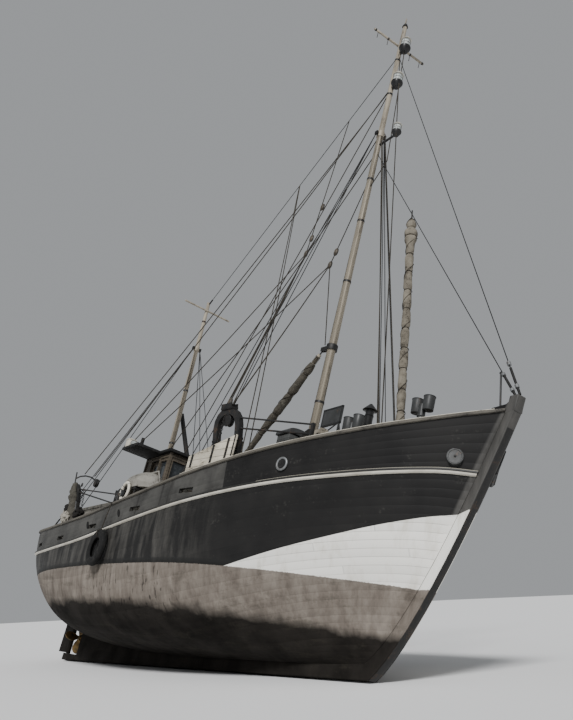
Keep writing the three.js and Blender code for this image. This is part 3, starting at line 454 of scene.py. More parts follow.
def remade(node, material, bevel=0.006, extra=(), smooth=35):
    base = copy_of(node)
    if bevel:
        wear(base, bevel)
    return finished(node, [base, *extra], material, smooth)


print("bodies:", sorted(set(BODY_OF.values())))

# %% [markdown]
# A plank shows by its seams, by the butt where two lengths meet, and by a tone of its
# own. The hull's UV map counts strakes up the side and metres along it, so a pattern
# on it follows the planks round the bilge and into the stem, as no flat map could. A
# strake is about 120 mm wide. A real seam is 5 mm wide, and it is drawn at 12 mm, with
# a butt at 30 mm, as coarse as they need to show.

# %% Planks as a pattern
PLANK_LENGTH = 5.4
BUTT_SHIFT = 0.37
SEAM_SHARE, BUTT_SHARE = 0.05, 0.006


def plank_pattern(put):
    along_v, strake, _ = put("SeparateXYZ", put("TexCoord").node.outputs["UV"]).node.outputs
    number = put("Math:FLOOR", strake)
    part = put("Math:FRACT", strake)
    edge_near = put("Math:MINIMUM", part, put("Math:SUBTRACT", 1.0, part))
    line = put("MapRange", edge_near, 0.0, SEAM_SHARE, 1.0, 0.0)
    shifted = put("Math:MULTIPLY_ADD", number, BUTT_SHIFT, put("Math:DIVIDE", along_v, PLANK_LENGTH))
    butt_line = put("MapRange", put("Math:FRACT", shifted), 0.0, BUTT_SHARE, 1.0, 0.0)
    which = put("CombineXYZ", number, put("Math:FLOOR", shifted))
    tone = put("TexWhiteNoise", which, noise_dimensions="2D")
    return put("Math:MAXIMUM", line, put("Math:MULTIPLY", butt_line, 0.7)), tone, strake


def blend_paint(put, share, low, high, start=0.36, end=0.66):
    return put("Mix:RGBA", put("MapRange", share, start, end), paint(low), paint(high))


print("a plank is", PLANK_LENGTH, "m long, and butts step by", round(PLANK_LENGTH * BUTT_SHIFT, 1), "m")

# %% [markdown]
# The topsides are black to the rail. Abaft the foremast the paint has gone grey and
# stained in runs down the side, and the bulwark there is a paler grey than the planks
# below it. A plain grey band runs down the stem. Each tone is laid over the last by a
# mask, as a painter would cut in along a line, so every mask is an x or a z on her.

# %% Black topsides
FIRST_BULWARK_STRAKE = 40
BLACK_FROM_X = 5.2
STEM_BAND_X, STEM_RAKE = 9.93, 0.46


def black_side(put, x, z, cloud, fine, drips, drag, strake):
    black = blend_paint(put, cloud, "#100F0F", "#1D1C1B", 0.35, 0.72)
    stained = blend_paint(put, drips, "#171615", "#4E4C48", 0.4, 0.66)
    abaft = put("MapRange", put("Math:MULTIPLY_ADD", cloud, 2.0, x), 6.4, 3.4)
    low_side = put("Mix:RGBA", put("Math:MULTIPLY", abaft, 0.85), black, stained)
    grey = blend_paint(put, cloud, "#2E2D2B", "#4B4A47", 0.34, 0.62)
    bulwark_strakes = put("Math:GREATER_THAN", strake, FIRST_BULWARK_STRAKE - 0.5)
    on_grey = put("Math:MULTIPLY", bulwark_strakes, put("Math:LESS_THAN", x, BLACK_FROM_X))
    topside = put("Mix:RGBA", on_grey, low_side, grey)
    scuff = put("MapRange", put("Math:MULTIPLY", fine, drag), 0.34, 0.42)
    topside = put("Mix:RGBA", put("Math:MULTIPLY", scuff, 0.14), topside, paint("#6A6862"))
    before_stem = put("Math:SUBTRACT", x, put("Math:MULTIPLY_ADD", z, STEM_RAKE, STEM_BAND_X))
    stem_band = put("MapRange", before_stem, -0.02, 0.02)
    topside = put("Mix:RGBA", stem_band, topside, blend_paint(put, drips, "#3E3D3B", "#54524F"))
    return topside, on_grey, stem_band


print("the stem band meets the waterline at x", STEM_BAND_X)

# %% [markdown]
# Under the waterline the bottom paint has dried to a pale grey-brown with runs in it.
# Lower down it is painted darker, as painted shade under the bilge, and specks of weed
# hold on. The edge of the painted shade is moved up and down by the same cloud as the
# tones, so that it wanders and doesn't look ruled.

# %% Bottom paint
# Heights at which the painted shade under the bilge begins and is full
PAINTED_SHADE_TOP, PAINTED_SHADE_FULL = -0.86, -1.08


def bottom_side(put, z, cloud, fine, drips, drag):
    pale = blend_paint(put, drips, "#857D74", "#655D56")
    # The deep colour is painted shade: the bottom is darker lower down, where it faces the ground.
    deep = blend_paint(put, cloud, "#2B2825", "#1B1917")
    shade_edge_depth = put("Math:MULTIPLY_ADD", put("Math:SUBTRACT", cloud, 0.5), 0.5, z)
    bottom = put("Mix:RGBA", put("MapRange", shade_edge_depth, PAINTED_SHADE_TOP, PAINTED_SHADE_FULL), pale, deep)
    weed = put("MapRange", put("Math:MULTIPLY_ADD", fine, 0.5, drag), 0.8, 0.98)
    return put("Mix:RGBA", put("Math:MULTIPLY", weed, 0.4), bottom, paint("#3A3730"))


# Printed: the depth at which the painted shade begins.
print("the painted shade starts", -PAINTED_SHADE_TOP, "m under the waterline")

# %% [markdown]
# The two paints meet at the load waterline, with a dark line of scum just over it. At
# the bow a white wedge is cut in between them: its top edge rises forward in a straight
# line. Seams go over everything, faint where the side is grey and plain where it is
# white, and a few thin runs of rust come down amidships.

# %% Painted planking
WEDGE_START_X, WEDGE_START_Z, WEDGE_SLOPE = 5.63, 0.08, 0.29
SCUM_TOP = 0.15
RUST_X = 0.6


def hull_finish(name, planked=True):
    # Linseed-oil paint on oak planks, brushed on year after year, rubbed and weather-stained.
    # Clouds are 900 mm across and runs 300 mm wide and 2 m long. Scrapes go 1.6 m along her.
    # Brush marks of 5 mm are drawn at 70 mm, as coarse as they need to show.
    material, put, shader = new_finish(name)
    here = boat_coordinates(put)
    x, _, z = put("SeparateXYZ", here).node.outputs
    cloud = put("TexNoise", here, 1.1, 6.0, 0.62)
    fine = put("TexNoise", here, 14.0, 5.0, 0.6)
    down_side = put("Mapping", here, named={"Scale": (1, 1, 0.16)})
    drips = put("TexNoise", down_side, 3.2, 5.0, 0.65)
    along_side = put("Mapping", here, named={"Scale": (0.28, 1, 1.6)})
    drag = put("TexNoise", along_side, 2.2, 4.0, 0.6)
    line, tone, strake = plank_pattern(put) if planked else (0.0, 0.5, 0.0)
    topside, on_grey, stem_band = black_side(put, x, z, cloud, fine, drips, drag, strake)
    bottom = bottom_side(put, z, cloud, fine, drips, drag)

    ragged = put("Math:MULTIPLY_ADD", put("Math:SUBTRACT", fine, 0.5), 0.05, z)
    above = put("MapRange", ragged, -0.006, 0.006)
    scum = put("MapRange", ragged, SCUM_TOP, SCUM_TOP - 0.04, 0.0, 0.75)
    topside = put("Mix:RGBA", scum, topside, paint("#191918"))
    wedge_top = put("Math:MULTIPLY_ADD", x, WEDGE_SLOPE, WEDGE_START_Z - WEDGE_SLOPE * WEDGE_START_X)
    in_wedge = put("MapRange", put("Math:SUBTRACT", wedge_top, z), -0.004, 0.004)
    white = blend_paint(put, drips, "#EFEDE6", "#CFCABD", 0.5, 0.8)
    upper = put("Mix:RGBA", in_wedge, topside, white)
    colour = put("Mix:RGBA", above, bottom, upper)
    in_runs = put("Mapping", here, named={"Scale": (1, 1, 0.02)})
    trickle = put("TexNoise", in_runs, 7.0, 3.0, 0.5)
    amidships = put("MapRange", put("Math:ABSOLUTE", put("Math:ADD", x, -RUST_X)), 3.4, 2.0)
    trickle = put("Math:MULTIPLY", put("MapRange", trickle, 0.6, 0.65, 0.0, 0.7), amidships)
    colour = put("Mix:RGBA", trickle, colour, paint("#1C1A18"))

    uneven = put("MapRange", tone, 0.0, 1.0, 0.9, 1.08)
    shaded = put("VectorMath:MULTIPLY", colour, uneven)
    seam_dark = put("MapRange", x, 2.0, 6.5, 0.14, 0.5)
    seam_dark = put("Math:MULTIPLY", seam_dark, put("MapRange", z, -0.1, 0.4, 0.3, 1.0))
    hidden = put("Math:MAXIMUM", on_grey, stem_band)
    seam_dark = put("Math:MULTIPLY", seam_dark, put("MapRange", hidden, 0.0, 1.0, 1.0, 0.2))
    seam_dark = put("Math:MULTIPLY", seam_dark, line)
    colour = put("Mix:RGBA", seam_dark, shaded, paint("#0D0D0D"))
    gloss = put("MapRange", z, -0.1, 0.1, 0.9, 0.6)
    rough = put("Math:MULTIPLY_ADD", put("Math:SUBTRACT", cloud, 0.5), 0.4, gloss)
    height = put("Math:MULTIPLY_ADD", line, -0.4, put("Math:MULTIPLY_ADD", fine, 0.3, drag))
    dress(put, shader, colour, rough, height, 0.004, 0.5)
    shine = put("MapRange", z, -0.1, 0.1, 0.06, 0.3)
    shader.id_data.links.new(shine, shader.inputs["Specular IOR Level"])
    return material


HULL_PAINT = hull_finish("oil_paint_brushed_on_oak_planks")
TIMBER_PAINT = hull_finish("oil_paint_brushed_on_solid_oak", planked=False)
print("hull finish has", len(HULL_PAINT.node_tree.nodes), "nodes")

# %% [markdown]
# The other finishes share one recipe: a ground colour, a second tone laid over it by
# a soft cloud, a third in streaks or specks where it is worn, dirty or rusty, and a
# height from the same patterns. What changes is the grain's size and direction. Boards
# are lines at their real width in metres, and laid rope is a slanting wave.
#
# A size is given as patches to a metre, so 2.5 means patches 400 mm across. Amidships
# she is 27 metres from the camera, where a pixel covers 31 mm. Grain, grit and brush
# marks of a few millimetres are too fine to show there, so on timber and paint they are
# drawn at 30 to 70 mm, nine times finer than the cloud.

# %% One recipe for the plain finishes
WORN_EDGE = 0.09
FINER = 9


def simple_finish(
    name, ground, second, worn, patches=3.0, stretch=(1, 1, 1), roughness=0.6,
    metal=0.0, wear_from=0.6, relief=0.003, planks=None, wave=0.0,
):
    material, put, shader = new_finish(name)
    here = boat_coordinates(put)
    grain = put("Mapping", here, named={"Scale": stretch})
    cloud = put("TexNoise", grain, patches, 5.0, 0.6)
    fine = put("TexNoise", grain, patches * FINER, 4.0, 0.6)
    colour = blend_paint(put, cloud, ground, second)
    patch = put("Math:MULTIPLY_ADD", fine, 0.5, put("Math:MULTIPLY", cloud, 0.62))
    worn_through = put("MapRange", patch, wear_from, wear_from + WORN_EDGE)
    colour = put("Mix:RGBA", worn_through, colour, paint(worn))
    height = put("Math:MULTIPLY_ADD", fine, 0.5, cloud)
    if planks:
        axis, width = planks
        across = put("Math:DIVIDE", put("SeparateXYZ", here).node.outputs[axis], width)
        part = put("Math:FRACT", across)
        from_edge = put("Math:MINIMUM", part, put("Math:SUBTRACT", 1.0, part))
        seam = put("MapRange", from_edge, 0.0, 0.06, 1.0, 0.0)
        board = put("TexWhiteNoise", put("Math:FLOOR", across), noise_dimensions="1D")
        shade = put("MapRange", board, 0.0, 1.0, 0.82, 1.15)
        colour = put("VectorMath:MULTIPLY", colour, shade)
        colour = put("Mix:RGBA", put("Math:MULTIPLY", seam, 0.8), colour, paint("#1B1916"))
        height = put("Math:MULTIPLY_ADD", seam, -1.2, height)
    if wave:
        twist = put("TexWave", here, wave, 1.5, bands_direction="DIAGONAL").node.outputs["Fac"]
        height = put("Math:ADD", height, twist)
        # The troughs between the strands are darkened as well: painted shade in the grooves.
        dark = put("Math:MULTIPLY", put("Math:SUBTRACT", 1.0, twist), 0.5)
        colour = put("Mix:RGBA", dark, colour, paint("#15130F"))
    rough = put("Math:MULTIPLY_ADD", put("Math:SUBTRACT", cloud, 0.5), 0.3, roughness)
    dress(put, shader, colour, rough, height, relief, 0.7)
    shader.inputs["Metallic"].default_value = metal
    if not metal:
        shader.inputs["Specular IOR Level"].default_value = 0.28
    return material


print("a finish has a ground, a second tone and a worn one")

# %% [markdown]
# Timber is told by its grain, which runs with the piece: noise stretched along x on
# deck and rail, and along z on the masts. Bare oak goes grey and scrubbed pine stays
# pale. Varnish on teak and oil on spruce dull to a tired brown, and on the wheelhouse
# they do so in upright runs over the boards.

# %% Timber
DECK_PLANK = 0.115
# Oak scraped by ropes and boots: grey, coarse, without shine, in patches 0.4 by 1.3 m
BARE_OAK = simple_finish("scraped_bare_oak", "#5F5B53", "#474440", "#2F2D2A", 2.5, (0.3, 1, 1), 0.75)
# Pine deck planks, scrubbed pale, with dark payed seams and worn ways 0.45 by 2.3 m
DECK = simple_finish(
    "scrubbed_pine_deck", "#9A8F7B", "#776E5F", "#574F44", 2.2, (0.2, 1, 1), 0.85, planks=("Y", DECK_PLANK)
)
# Teak boards of the wheelhouse, 120 mm wide, under varnish that salt has dulled in runs
TEAK = simple_finish(
    "salt_dulled_varnished_teak", "#5B5348", "#423C34", "#2B2722", 4.0, (1, 1, 0.25), 0.45,
    planks=("Z", 0.12),
)
# Spruce spars rubbed with oil: grain 140 mm wide and 1.5 m long, tan going grey, a sheen
SPRUCE = simple_finish("oiled_spruce_spar", "#A59C8C", "#857D6F", "#575047", 3.0, (2.4, 2.4, 0.22), 0.5)
# Elm boards of the otter board, their pale paint scraped off by the sea bed
BOARD_WOOD = simple_finish(
    "scraped_paint_on_elm_boards", "#C4BDAD", "#A39C8C", "#6E675A", 2.6, (0.4, 1, 1), 0.8, wear_from=0.6,
    planks=("Z", 0.19),
)
print("deck planks are", DECK_PLANK * 1000, "mm wide")

# %% [markdown]
# Paint is told by its gloss and by how it fails: brushed gloss scuffs along an edge,
# paint on boards streaks downwards, and white paint goes chalky. Its patches are 300 to
# 600 mm across, about as far as a brush is carried on one load.

# %% Paint
# Off-white gloss along the cap's edge, scuffed by the quay so that dull streaks show
STRIPE = simple_finish(
    "brushed_off_white_gloss", "#D9D4C6", "#BDB7A8", "#7B766C", 3.0, (0.4, 1, 1), 0.5, wear_from=0.64
)
# Buff paint on boards, rain-streaked to a dirty grey
BUFF = simple_finish(
    "brushed_buff_paint_on_boards", "#77736A", "#5E5B54", "#413F3A", 1.6, (1, 1, 0.3), 0.6,
    planks=("Z", 0.14),
)
# Grey paint inside the bulwark, flat and marked by gear
INBOARD = simple_finish(
    "brushed_grey_paint_inside_bulwark", "#8D8B83", "#716F68", "#4C4A45", 1.8, (1, 1, 0.4), 0.7
)
# Black paint on stretched canvas: almost no tone, worn paler at the folds
ROOF = simple_finish("black_paint_on_canvas_roof", "#151515", "#0F0F10", "#2C2B29", 3.0, roughness=0.7)
# Off-white paint gone chalky, with grey patches and little shine
WHITE = simple_finish(
    "chalky_off_white_paint", "#D2CDC0", "#B5B0A3", "#868174", 2.2, roughness=0.6, wear_from=0.66
)
print("finishes so far:", len(bpy.data.materials))

# %% [markdown]
# Ironwork on a working boat is painted or tarred, and rust comes through both. Only
# the castings and the wire shine a little, where oil and wear keep them bare. Bronze
# and zinc go dull in salt air, and keep a cool or a warm tint that paint doesn't have.
# Rust starts in specks of a few millimetres. They are drawn at about 20 mm, in patches
# of 200 mm, so that they show.

# %% Ironwork
# Wrought iron under brushed black, with brown rust in specks
IRON = simple_finish(
    "brushed_black_paint_on_wrought_iron", "#191919", "#242322", "#463629", 5.0, roughness=0.55, metal=0.25,
    wear_from=0.62,
)
# Cast iron of winch and windlass, dark and slick with oil
CAST = simple_finish("oily_cast_iron", "#30302F", "#232322", "#46362A", 4.5, roughness=0.5, metal=0.45)
# Galvanised wire, tarred until hardly any zinc shows
WIRE = simple_finish(
    "tarred_galvanised_wire", "#262524", "#1B1A1A", "#403F3C", 12.0, roughness=0.6, metal=0.5
)
# Cast bronze of the screw, dulled by sea water with a green cast in the worn places
BRONZE = simple_finish(
    "sea_dulled_cast_bronze", "#8A7048", "#6B5A40", "#4C5A4A", 6.0, roughness=0.45, metal=0.9
)
# Steel dipped in zinc: pale, mottled and stained by rust
ZINC = simple_finish(
    "hot_dip_galvanised_steel", "#8B8D8E", "#6E7071", "#5A4D42", 7.0, roughness=0.5, metal=0.6
)
print("bronze in linear:", [round(c, 2) for c in paint("#8A7048")])

# %% [markdown]
# Rope, canvas and net don't shine at all. Rope shows the slant of its strands. Canvas
# and net are seen from 20 metres, where threads of 1 to 3 mm are too fine to show. So
# canvas has a relief as coarse as its creases, 30 mm, and net one as coarse as bunches
# of mesh, 50 mm. Each has a tone for how it was treated against rot.

# %% Rope, canvas and net
# Manila rope, weathered to grey-brown, its strands a slanting wave of 15 mm, with painted shade in the grooves
MANILA = simple_finish(
    "weathered_manila_rope", "#453F36", "#332F29", "#211E1A", 18.0, roughness=0.9, wave=42.0, relief=0.004
)
# Flax canvas left in the weather: pale grey-brown with dirty creases
CANVAS = simple_finish(
    "weathered_flax_canvas", "#7D776B", "#5F594F", "#403C35", 4.0, roughness=0.95, wear_from=0.6,
    relief=0.01,
)
# Flax canvas steeped in bark against rot: dark, with paler rubbed edges
TANNED = simple_finish(
    "barked_flax_canvas", "#4F4B43", "#38352F", "#67635A", 4.0, roughness=0.95, wear_from=0.6, relief=0.01
)
# Cotton net hung to dry, its tan bleached by the sun
DRY_NET = simple_finish(
    "sun_bleached_cotton_net", "#504D46", "#37352F", "#69655D", 16.0, roughness=0.95, relief=0.02
)
# New cotton net, not treated yet and nearly white
PALE_NET = simple_finish(
    "undyed_cotton_net", "#A29D92", "#7B766C", "#BFBAAF", 16.0, roughness=0.95, relief=0.02
)
# Cotton net steeped in tar: almost black, with a fine broken relief
NET = simple_finish("tarred_cotton_net", "#1C1A18", "#121110", "#332F29", 22.0, roughness=0.95, relief=0.02)
# Vulcanised rubber of an old tyre, dull and scuffed grey
RUBBER = simple_finish("scuffed_vulcanised_rubber", "#0F0F0F", "#191918", "#2C2A28", 9.0, roughness=0.85)
print("finishes so far:", len(bpy.data.materials))

# %% [markdown]
# Two finishes don't fit the recipe. The half-round moulding is picked out in two
# colours by brush, so its tone depends on the girth, which its UV map counts. The panes
# are misted with salt over a dark room, so they need a rough patch more than a colour.

# %% Moulding and glass
WHITE_TO, LIGHT_EDGE, LIGHT_EDGE_FROM_X = 0.37, 0.68, 6.4


def moulding_finish(name):
    # Gloss on a half-round: white below, black above, and a light edge on top at the bow
    material, put, shader = new_finish(name)
    here = boat_coordinates(put)
    x = put("SeparateXYZ", here).node.outputs[0]
    girth = put("SeparateXYZ", put("TexCoord").node.outputs["UV"]).node.outputs[1]
    along_side = put("Mapping", here, named={"Scale": (0.4, 1, 1)})
    cloud = put("TexNoise", along_side, 3.0, 5.0, 0.6)
    white = blend_paint(put, cloud, "#DDD8CB", "#B4AEA0", 0.4, 0.7)
    below = put("MapRange", girth, WHITE_TO, WHITE_TO + 0.01)
    colour = put("Mix:RGBA", below, white, blend_paint(put, cloud, "#141413", "#23221F"))
    at_bow = put("Math:GREATER_THAN", x, LIGHT_EDGE_FROM_X)
    top_edge = put("Math:MULTIPLY", put("Math:COMPARE", girth, LIGHT_EDGE, 0.045), at_bow)
    colour = put("Mix:RGBA", top_edge, colour, paint("#A9A497"))
    dress(put, shader, colour, 0.55, cloud, 0.003, 0.5)
    return material


def glass_finish(name, tint):
    # Drawn sheet glass with salt on it in patches of 110 mm, the room behind it dark
    material, put, shader = new_finish(name)
    here = boat_coordinates(put)
    salt = put("MapRange", put("TexNoise", here, 9.0, 4.0, 0.6), 0.45, 0.8, 0.06, 0.35)
    colour = put("Mix:RGBA", salt, paint(tint), paint("#6B7074"))
    dress(put, shader, colour, salt, put("TexNoise", here, 2.0, 4.0, 0.6), 0.002, 0.15)
    return material


MOULDING = moulding_finish("picked_out_gloss_on_half_round")
GLASS = glass_finish("salt_misted_drawn_glass", "#15191C")
print("finishes:", len(bpy.data.materials))

# %% [markdown]
# She is carvel planked: each plank is steamed round the frames and lies edge to edge
# with the next, with a payed seam between. The skin is laid as one fine grid, with
# four rows to a plank, and the rows on a seam are sunk a millimetre or two.

# %% Rows of planks
SEAM_DEEP = 0.0015
SEAM_PART = 0.04
COLUMNS = 12
ROWS_OF_PLANK = (0.0, SEAM_PART, 0.5, 1 - SEAM_PART)


def steps(start, end):
    inner = np.arange(math.floor(start * COLUMNS) + 1, math.ceil(end * COLUMNS)) / COLUMNS
    return np.concatenate([[start], inner, [end]])


def run_along(line):
    return np.concatenate([[0], np.cumsum(np.linalg.norm(np.diff(line, axis=0), axis=1))])


def planked(columns, low, high, strakes):
    marks = np.array([k + part for k in range(strakes) for part in ROWS_OF_PLANK] + [strakes])
    skins = []
    for s in columns:
        line = skin(s, np.linspace(0, 1, 260)[:, None])
        run = run_along(line)
        first, last = (np.interp(level(s), line[:, 2], run) for level in (low, high))
        spots = first + (last - first) * marks / strakes
        skins.append(np.stack([np.interp(spots, run, line[:, k]) for k in range(3)], 1))
    skins = np.array(skins)
    normal = np.cross(np.gradient(skins, axis=0), np.gradient(skins, axis=1))
    normal /= np.maximum(np.linalg.norm(normal, axis=2, keepdims=True), 1e-9)
    if normal[..., 1].mean() < 0:
        normal = -normal
    sunk = np.isclose(marks % 1, 0) & (marks > 0) & (marks < strakes)
    skins[:, sunk] -= SEAM_DEEP * normal[:, sunk]
    skins[columns == 0, :, 1] = 0
    return skins, marks


print("columns between two stations:", COLUMNS)

# %% [markdown]
# A hull is one closed shell: the port side, the deck edge across, the starboard side and
# back to the keel. `ring_grid` joins such strips round the girth, and writes the UV map
# that the plank pattern reads: metres along, strakes up. A strip without planks gets the
# middle of a strake, where no seam is.

# %% Both sides in one shell
def other_side(points):
    return points * [1, -1, 1]


def ring_grid(parts, strakes_of):
    points = np.concatenate([*parts, parts[0][:, :1]], axis=1)
    strake = np.concatenate([*strakes_of, strakes_of[0][:1]])
    distance = points[:, :, 0]
    uv = np.stack([distance, np.broadcast_to(strake, distance.shape)], 2)
    return laid(points, uv)


def across(edge_points, count):
    share = np.linspace(0, 1, count + 2)[1:-1, None]
    return np.array([p + (p * [1, -1, 1] - p) * share for p in edge_points])


print("strips are joined round the girth")

# %% [markdown]
# The main hull runs from keel to deck edge in 24 strakes a side. Where the casing, the
# engine room and the fish hatch open into her, the shell is cut by boxes, and the cut
# faces take the grey paint of the inside.

# %% Hull planking
STRAKES = 24
FAR_DOWN = -99.0
whole = steps(0.0, float(LAST))
port_skin, marks = planked(whole, lambda s: FAR_DOWN, deck_z, STRAKES)
top = across(port_skin[:, -1], 8)
flat = np.full(8, 0.5)
hull = ring_grid([port_skin, top, other_side(port_skin)[:, ::-1]], [marks, flat, marks[::-1]])
hull = tidy(hull)
coat(hull, HULL_PAINT)
UNDER_CASING = ((-8.7005, -1.7505, 0.6), (-1.4995, 1.7505, 3.0))
ENGINE_ROOM = ((-6.9, -0.8, -1.15), (-3.9, 0.8, 0.7))
FISH_HOLD = ((2.15, -0.7, -0.9), (3.45, 0.7, 3.0))
for low, high in (UNDER_CASING, ENGINE_ROOM, FISH_HOLD):
    carve(hull, coat(slab(low, high), INBOARD))
carve(hull, coat(rod((-9.33, 0, -1.2), (-9.33, 0, 0.15), 0.1, sides=20), INBOARD))
piece("hull_planking", hull, HULL_PAINT, stands_for=["hull"], slot="hull_paint", smooth=50)
print("hull planking:", len(hull.data.polygons), "faces")

# %% [markdown]
# Forward of the break the same planks run on above the deck as the side of the
# forecastle, which is a closed block: planks outside, a thick inner wall and a top.

# %% Forecastle side
BREAK_S = 20 / 3
INNER_WALL = 0.1
DECK_UNDER_RAIL = 0.23
PAST_DECK = 0.0004
fore = steps(BREAK_S, float(LAST))
outer, marks = planked(fore, lambda s: deck_z(s) + PAST_DECK, rail_z, 6)


def narrow(points):
    points[..., 1] = np.maximum(points[..., 1], 0.02)
    return points


inner = narrow(
    np.array([[inside(s, rail_z(s) - drop, INNER_WALL) for drop in (0, DECK_UNDER_RAIL)] for s in fore])
)
middle = across(inner[:, -1], 6)
strake_row = [
    marks + FIRST_BULWARK_STRAKE, np.full(2, 0.5), np.full(6, 0.5), np.full(2, 0.5),
    marks[::-1] + FIRST_BULWARK_STRAKE,
]
castle = ring_grid([outer, inner, middle, other_side(inner)[:, ::-1], other_side(outer)[:, ::-1]], strake_row)
piece(
    "forecastle_planking", tidy(castle), HULL_PAINT, stands_for=["forecastle"], slot="topside_paint",
    smooth=50,
)
print("forecastle side:", len(fore), "columns")

# %% [markdown]
# Abaft the break the planks run on as the bulwark, which keeps the crew inboard. It goes
# round the stern in one sweep, so both sides are laid as one strip from break to break.

# %% Bulwark
aft = steps(0.0, BREAK_S - 0.001)
outer, marks = planked(aft, lambda s: deck_z(s) + PAST_DECK, rail_z, 5)
levels = np.linspace(1, 0, 4)
inner = np.array(
    [
        [inside(s, deck_z(s) + PAST_DECK + t * (topside_height(s) - PAST_DECK), INNER_WALL) for t in levels]
        for s in aft
    ]
)
whole_side = np.concatenate([outer, inner], 1)
both = np.concatenate([other_side(whole_side)[:0:-1], whole_side])
strake = np.concatenate([marks + FIRST_BULWARK_STRAKE, np.full(4, 0.5)])
bulwark = tidy(ring_grid([both], [strake]))
coat(bulwark, HULL_PAINT)
bulwark.data.materials.append(INBOARD)
print("bulwark:", len(bulwark.data.polygons), "faces")

# %% [markdown]
# Fittings are placed by their distance from midships, but the skin is reached by station.
# One function finds the station at which a line along the side passes a given x. The
# deck is cambered, a few centimetres higher on the centre line than at the side.

# %% Places on deck and rail
DECK_ON_EDGE, CAMBER = 0.06, 0.03


def station_at(x, line):
    return np.interp(x, [line(s)[0] for s in whole], whole)


def deck_station(x):
    return station_at(x, lambda s: edge(s, deck_z(s)))


def rail_point(x):
    return skin(station_at(x, lambda s: skin(s, 1)), 1)


def deck_height(x, y=0.0):
    s = deck_station(x)
    half = edge(s, deck_z(s))[1]
    return deck_z(s) + DECK_ON_EDGE + CAMBER * half * (1 - (y / half) ** 2)


print("deck amidships is at", round(float(deck_height(0.0)), 2), "m")

# %% [markdown]
# Water that comes over the rail runs off through the freeing ports, long slits at deck
# height. Inside, the bulwark stands on its timberheads, square posts that follow the
# side's slope and turn with it. The inner faces are found by their normals, and given
# the grey paint.

# %% Freeing ports and timberheads
PORT_HALF, PORT_HIGH, PORT_OVER_DECK = 0.33, 0.13, 0.06
HEAD_HALF, HEAD_GAP = 0.05, 0.21
for x in (-8.2, -5.2, -2.2, 0.8, 3.6):
    z = deck_height(x) + PORT_OVER_DECK
    carve(bulwark, coat(slab((x - PORT_HALF, -4, z), (x + PORT_HALF, 4, z + PORT_HIGH)), ROOF))
normals = np.array([p.normal for p in bulwark.data.polygons])
centres = np.array([p.center for p in bulwark.data.polygons])
toward = centres * [1, 1, 0] + [3.0, 0, 0]
aft_round = centres[:, 0] < -9.5
inboard = np.where(aft_round, (normals * toward).sum(1) < -0.2, normals[:, 1] * np.sign(centres[:, 1]) < -0.5)
already = [p.material_index for p in bulwark.data.polygons]
bulwark.data.polygons.foreach_set("material_index", np.maximum(inboard, already).astype(int))
heads = []
for s in np.arange(0.6, BREAK_S - 0.2, HEAD_GAP):
    for side in (1, -1):
        foot, head = inside(s, deck_z(s), INNER_WALL), inside(s, rail_z(s), INNER_WALL)
        near = inside(s + 0.05, rail_z(s), INNER_WALL) - head
        turn = math.degrees(math.atan2(side * near[1], near[0]))
        inset = inside(s, deck_z(s), INNER_WALL + 0.055)
        block = slab((-HEAD_HALF, -0.052, 0), (HEAD_HALF, 0.052, head[2] - foot[2] - 0.02), turn)
        block.data.transform(Matrix.Translation((inset[0], side * inset[1], foot[2] + 0.02)))
        heads.append(coat(block, INBOARD))
both_sides = ["bulwark_port", "bulwark_starboard"]
piece(
    "bulwark_planking", [bulwark, *heads], HULL_PAINT, stands_for=both_sides, slot="topside_paint",
    smooth=50,
)
print("timberheads:", len(heads))

# %% [markdown]
# Along the sheer runs a wide oak cap, scraped bare by ropes, and at deck height a
# half-round rubbing strake that takes the wear alongside a quay. It is white below and
# black above. Both are swept round the stern and up to the stem in one length: each
# corner of their section is a line along the skin, at its own inset and height.

# %% Rail cap, rubbing strake and decks
def swept(start, end, corners):
    columns = steps(start, end)
    ring = np.array([[corner(s) for corner in corners] for s in columns])
    if start > 0:
        rings = [ring, other_side(ring)]
    else:
        rings = [np.concatenate([other_side(ring)[:0:-1], ring])]
    made = []
    for shape in rings:
        shape = np.concatenate([shape, shape[:, :1]], axis=1)
        run = run_along(shape[:, 0])
        uv = np.stack(np.broadcast_arrays(run[:, None], np.linspace(0, 1, shape.shape[1])[None, :]), 2)
        made.append(tidy(laid(shape, uv)))
    return made


def corner(inset, height, level):
    def at(s):
        p = inside(s, level(s) + (0 if level is rail_z else height), inset)
        return np.array([p[0], max(p[1], 0.02) if s > 5 else p[1], level(s) + height])

    return at


CAP_OUT, CAP_IN, CAP_LOW, CAP_HIGH = -0.055, 0.155, 0.004, 0.074
cap_section = [(CAP_OUT, CAP_LOW), (CAP_OUT, CAP_HIGH), (CAP_IN, CAP_HIGH), (CAP_IN, CAP_LOW)]
cap = swept(0.0, float(LAST), [corner(inset, height, rail_z) for inset, height in cap_section])
piece("rail_cap_scraped", cap, BARE_OAK, bevel=0.014, stands_for=["rail_cap"], slot="bare_rail")
round_half = [
    (-0.003, -0.06), (-0.04, -0.055), (-0.062, -0.032), (-0.066, 0), (-0.062, 0.032), (-0.04, 0.055),
    (-0.003, 0.06),
]
strake_rail = swept(0.0, float(LAST), [corner(inset, height, deck_z) for inset, height in round_half])
piece("rubbing_strake", strake_rail, MOULDING, stands_for=["rub_rail"], slot="rub_paint", smooth=50)
remade("main_deck", DECK, 0.0)
remade("foredeck", DECK, 0.0)
print("rail cap and rubbing strake are swept")

# %% [markdown]
# Keel, stem and sternpost are one sawn oak backbone, which carries the same paints as
# the planks beside it, with a plain grey band down the stem. The rudder turns on its
# stock behind a four-bladed screw.

# %% Backbone, rudder and screw
remade("backbone", TIMBER_PAINT, 0.02)
remade("rudder", TIMBER_PAINT, 0.012)
remade("propeller", BRONZE, 0.004, smooth=50)

# %% [markdown]
# The engine casing is boarded and painted. A capping strip and upright battens stand
# proud of its sides, and its three small windows a side have a teak frame each, with
# the pane set back in it. Each lid of the skylight carries two round frames.

